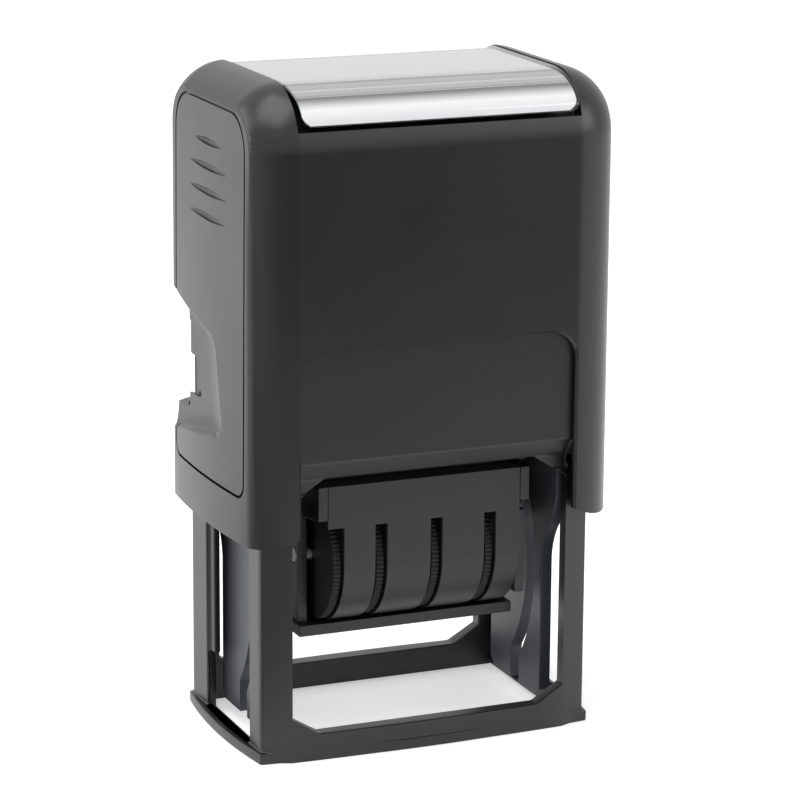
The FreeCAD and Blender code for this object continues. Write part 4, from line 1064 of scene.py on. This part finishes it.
@dataclass
class InkCartridge:
    """The tray with its felt pad."""

    tray_edge: float = 0.08 * MILLIMETRE
    pad_corner: float = 1.0 * MILLIMETRE
    smooth_deg: float = 50.0

    def build(self, frame: dict, shelf: FinishShelf) -> None:
        """Builds and dresses the cartridge's pieces.

        Args:
            shelf: the finishes.
        """
        EdgedCopy("cartridge_tray", Body.CARTRIDGE, Slot.TRAY, self.tray_edge).build(frame, shelf)
        self.felt_pad(shelf)

    def felt_pad(self, shelf: FinishShelf) -> None:
        """Makes the felt pad with softly rounded edges.

        Args:
            shelf: the finishes.
        """
        low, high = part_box("ink_pad")
        pad = Hand.fresh(bpy.ops.mesh.primitive_cube_add, size=1.0, location=(low + high) / 2)
        pad.name = "felt_pad"
        pad.scale = high - low
        Hand.settle(pad)
        rounding = pad.modifiers.new("soft edges", "BEVEL")
        rounding.width = self.pad_corner
        rounding.segments = 4
        Hand.apply_modifiers(pad)
        with Hand.editing(pad):
            bpy.ops.mesh.subdivide(number_cuts=3)
        Hand.smooth(pad, self.smooth_deg)
        shelf.seat(pad, "ink_pad", Body.CARTRIDGE, Slot.FELT)


@dataclass
class Rocker:
    """The turning unit with the cover, the plates, the bands and the setting wheels."""

    cover_edge: float = 0.2 * MILLIMETRE
    wheel_edge: float = 0.08 * MILLIMETRE
    wheel_count: int = 4
    small_edge: float = 0.15 * MILLIMETRE

    def build(self, frame: dict, shelf: FinishShelf) -> None:
        """Builds and dresses the rocker's pieces.

        Args:
            shelf: the finishes.
        """
        covers = ("date_housing", "rear_cover", "end_plate_left", "end_plate_right", "bottom_strip",
                  "plate_carrier", "band_anvil")
        for node in covers:
            EdgedCopy(node, Body.ROCKER, Slot.ROCKER, self.cover_edge).build(frame, shelf)
        EdgedCopy("text_die", Body.ROCKER, Slot.RUBBER, self.small_edge).build(frame, shelf)
        EdgedCopy("wheel_axle", Body.ROCKER, Slot.STEEL, self.small_edge).build(frame, shelf)
        for number in range(1, self.wheel_count + 1):
            shelf.dress(frame["nodes"][f"date_band_{number}"], Slot.RUBBER)
            EdgedCopy(f"setting_wheel_{number}", Body(f"wheel_{number}"), Slot.WHEEL,
                      self.wheel_edge).build(frame, shelf)


@dataclass(frozen=True)
class SoftBox:
    """One soft studio lamp."""

    name: str
    place: tuple[float, float, float]
    target: tuple[float, float, float]
    width: float
    height: float
    power: float
    colour: Tint = Tint(1.0, 1.0, 1.0)

    def build(self) -> None:
        """Hangs the lamp and aims it."""
        lamp = bpy.data.lights.new(self.name, "AREA")
        lamp.shape = "RECTANGLE"
        lamp.size, lamp.size_y = self.width, self.height
        lamp.energy = self.power
        lamp.color = (self.colour.red, self.colour.green, self.colour.blue)
        holder = bpy.data.objects.new(self.name, lamp)
        bpy.context.scene.collection.objects.link(holder)
        holder.location = self.place
        aim = Vector(self.target) - Vector(self.place)
        holder.rotation_euler = aim.to_track_quat("-Z", "Y").to_euler()


@dataclass
class Studio:
    """Floor, world, lamps and camera."""

    azimuth_deg: float = -22.998
    elevation_deg: float = 14.251
    roll_deg: float = 0.421
    distance: float = 0.538296
    focal_px: float = 3403.8
    target_x: float = 0.00198
    target_z: float = 0.051585
    ambient: float = 0.55
    backdrop: float = 1.0
    floor_size: float = 8.0
    floor_shade: Tint = Tint(0.80, 0.80, 0.80)
    floor_lift: float = 0.45
    # Hidden sheets that glow and show only in reflections: their glow paints the reflections on the front
    # faces and the front-left corner.
    front_glow_reach: tuple[float, float, float, float] = (-0.6, 0.35, -0.10, -2.0)
    front_glow_start: float = 0.03
    front_glow_lean: float = 0.577
    front_glow_shades: tuple[tuple[float, float], ...] = (
        (0.10, 1.0), (0.19, 0.92), (0.25, 0.62), (0.315, 0.32), (0.36, 0.16), (0.5, 0.05))
    left_glow_reach: tuple[float, float, float, float] = (-0.6, -0.040, -0.022, -0.10)
    left_glow_shade: float = 0.45

    def build(self) -> None:
        """Sets up everything around the stamp."""
        bpy.context.scene.view_settings.view_transform = "Standard"
        self.camera()
        self.world()
        self.floor()
        self.reflection_glow_sheets()
        for box in self.lamps():
            box.build()

    def lamps(self) -> list[SoftBox]:
        """The soft lamps.

        Returns:
            The lamps with their places and powers.
        """
        centre = (0.0, 0.0, 0.055)
        return [
            SoftBox("top softbox", (-0.25, -0.15, 0.95), centre, 0.9, 0.9, 7.0),
            SoftBox("left softbox", (-0.85, 0.45, 0.40), centre, 0.8, 0.7, 3.6),
            SoftBox("front right softbox", (0.75, -0.75, 0.45), centre, 0.6, 0.6, 3.0,
                    Tint(0.95, 0.97, 1.0)),
        ]

    def camera(self) -> None:
        """Places the camera where the photograph was taken from."""
        turn, lift = math.radians(self.azimuth_deg), math.radians(self.elevation_deg)
        back = Vector((math.sin(turn) * math.cos(lift), -math.cos(turn) * math.cos(lift), math.sin(lift)))
        right = Vector((math.cos(turn), math.sin(turn), 0.0))
        up = back.cross(right)
        roll = math.radians(self.roll_deg)
        across = right * math.cos(roll) + up * math.sin(roll)
        upright = up * math.cos(roll) - right * math.sin(roll)
        lens = bpy.data.cameras.new("photo camera")
        lens.sensor_fit = "HORIZONTAL"
        lens.sensor_width = SENSOR_WIDTH_MM
        lens.lens = self.focal_px * SENSOR_WIDTH_MM / PHOTO_WIDTH_PX
        lens.clip_start, lens.clip_end = 0.01, 50.0
        camera = bpy.data.objects.new("photo camera", lens)
        bpy.context.scene.collection.objects.link(camera)
        turned = Matrix((across, upright, back)).transposed()
        camera.rotation_euler = turned.to_euler()
        camera.location = Vector((self.target_x, 0.0, self.target_z)) + back * self.distance
        bpy.context.scene.camera = camera

    def seen_directly(self, sheet: NodeSheet) -> bpy.types.NodeSocket:
        """A mask of camera, glossy and transmission rays.

        Args:
            sheet: the node sheet to build in.

        Returns:
            The socket that carries the mask.
        """
        path = sheet.add("ShaderNodeLightPath").outputs
        first = sheet.count("MAXIMUM", path["Is Camera Ray"], path["Is Glossy Ray"])
        return sheet.count("MAXIMUM", first, path["Is Transmission Ray"])

    def world(self) -> None:
        """A white backdrop with a plain ambient light."""
        world = bpy.data.worlds.new("studio")
        bpy.context.scene.world = world
        world.use_nodes = True
        sheet = NodeSheet(world.node_tree)
        plain = world.node_tree.nodes["Background"]
        sheet.fill(plain, {"Color": WHITE, "Strength": self.ambient})
        white = sheet.add("ShaderNodeBackground", {"Color": WHITE, "Strength": self.backdrop})
        mix = sheet.add("ShaderNodeMixShader", {
            0: self.seen_directly(sheet), 1: plain.outputs["Background"], 2: white.outputs["Background"]})
        sheet.join(mix.outputs["Shader"], world.node_tree.nodes["World Output"].inputs["Surface"])

    def floor(self) -> None:
        """A pale table top that runs out into the backdrop and keeps the soft shadow."""
        floor = Hand.fresh(bpy.ops.mesh.primitive_plane_add, size=self.floor_size, location=(0.0, 0.0, 0.0))
        floor.name = "table_top"
        Hand.settle(floor)
        material, sheet, shader, _ = NodeSheet.start("white table")
        lift = sheet.count("MULTIPLY", self.seen_directly(sheet), self.floor_lift)
        sheet.fill(shader, {"Base Color": self.floor_shade.rgba(), "Roughness": 0.8,
                            "Emission Color": WHITE, "Emission Strength": lift})
        floor.data.materials.append(material)

    def reflection_glow_sheets(self) -> None:
        """Two glowing sheets that only reflections show, which paint the reflections on the stamp's front
        faces: one in front, whose glow fades away from the stamp, and a grey one at its left.
        """
        front_glow = self.hidden_sheet("front_reflection_glow", self.front_glow_reach)
        for spot in front_glow.data.vertices:
            if spot.co.x > 0.0:
                spot.co.x = self.front_glow_start - self.front_glow_lean * spot.co.y
        sheet, shader, place = self.plain_glow(front_glow)
        split = sheet.add("ShaderNodeSeparateXYZ", {"Vector": place})
        away = sheet.count("MULTIPLY", split.outputs["Y"], -1.0)
        # The glow fades away from the stamp, which paints the front faces' reflections lighter low down and
        # darker higher up.
        ramp = sheet.add("ShaderNodeValToRGB", {"Fac": away})
        stops = ramp.color_ramp.elements
        stops[0].position, stops[1].position = self.front_glow_shades[0][0], self.front_glow_shades[-1][0]
        for stop, (_, shade) in zip(stops, (self.front_glow_shades[0], self.front_glow_shades[-1])):
            stop.color = (shade, shade, shade, 1.0)
        for distance, shade in self.front_glow_shades[1:-1]:
            stops.new(distance).color = (shade, shade, shade, 1.0)
        sheet.join(ramp.outputs["Color"], shader.inputs["Emission Color"])
        # The grey sheet's even glow paints darker reflections on the front-left corner and feet.
        card = self.hidden_sheet("left_reflection_glow", self.left_glow_reach)
        shader = self.plain_glow(card)[1]
        shader.inputs["Emission Color"].default_value = (self.left_glow_shade,) * 3 + (1.0,)

    @staticmethod
    def hidden_sheet(name: str, reach: tuple[float, float, float, float]) -> bpy.types.Object:
        """Lays a sheet on the table that only reflections show.

        Args:
            name: name of the sheet.
            reach: its left, right, near and far edges.

        Returns:
            The sheet.
        """
        low_x, high_x, near_y, far_y = reach
        sheet = Hand.fresh(bpy.ops.mesh.primitive_plane_add, size=1.0,
                           location=((low_x + high_x) / 2, (near_y + far_y) / 2, MILLIMETRE))
        sheet.name = name
        sheet.scale = (high_x - low_x, near_y - far_y, 1.0)
        Hand.settle(sheet)
        sheet.visible_camera = False
        sheet.visible_diffuse = False
        sheet.visible_shadow = False
        return sheet

    @staticmethod
    def plain_glow(sheet: bpy.types.Object) -> tuple[NodeSheet, bpy.types.Node, bpy.types.NodeSocket]:
        """Gives a sheet a black material that only glows.

        Args:
            sheet: the sheet to dress.

        Returns:
            The node sheet, the shader, whose Emission Color sets the shade, and the Object coordinates.
        """
        material, nodes, shader, place = NodeSheet.start(sheet.name)
        nodes.fill(shader, {"Base Color": (0.0, 0.0, 0.0, 1.0), "Roughness": 0.9,
                            "Specular IOR Level": 0.0, "Emission Strength": 1.0})
        sheet.data.materials.append(material)
        return nodes, shader, place


def main() -> None:
    """Builds the stamp's looks and the studio around it."""
    logging.basicConfig(level=logging.INFO, format="%(name)s: %(message)s")
    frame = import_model()
    shelf = FinishShelf()
    shelf.build()
    Studio().build()
    BaseFrame().build(frame, shelf)
    Casing().build(frame, shelf)
    ReturnSpring().build(shelf)
    InkCartridge().build(frame, shelf)
    Rocker().build(frame, shelf)


if __name__ == "__main__":
    main()
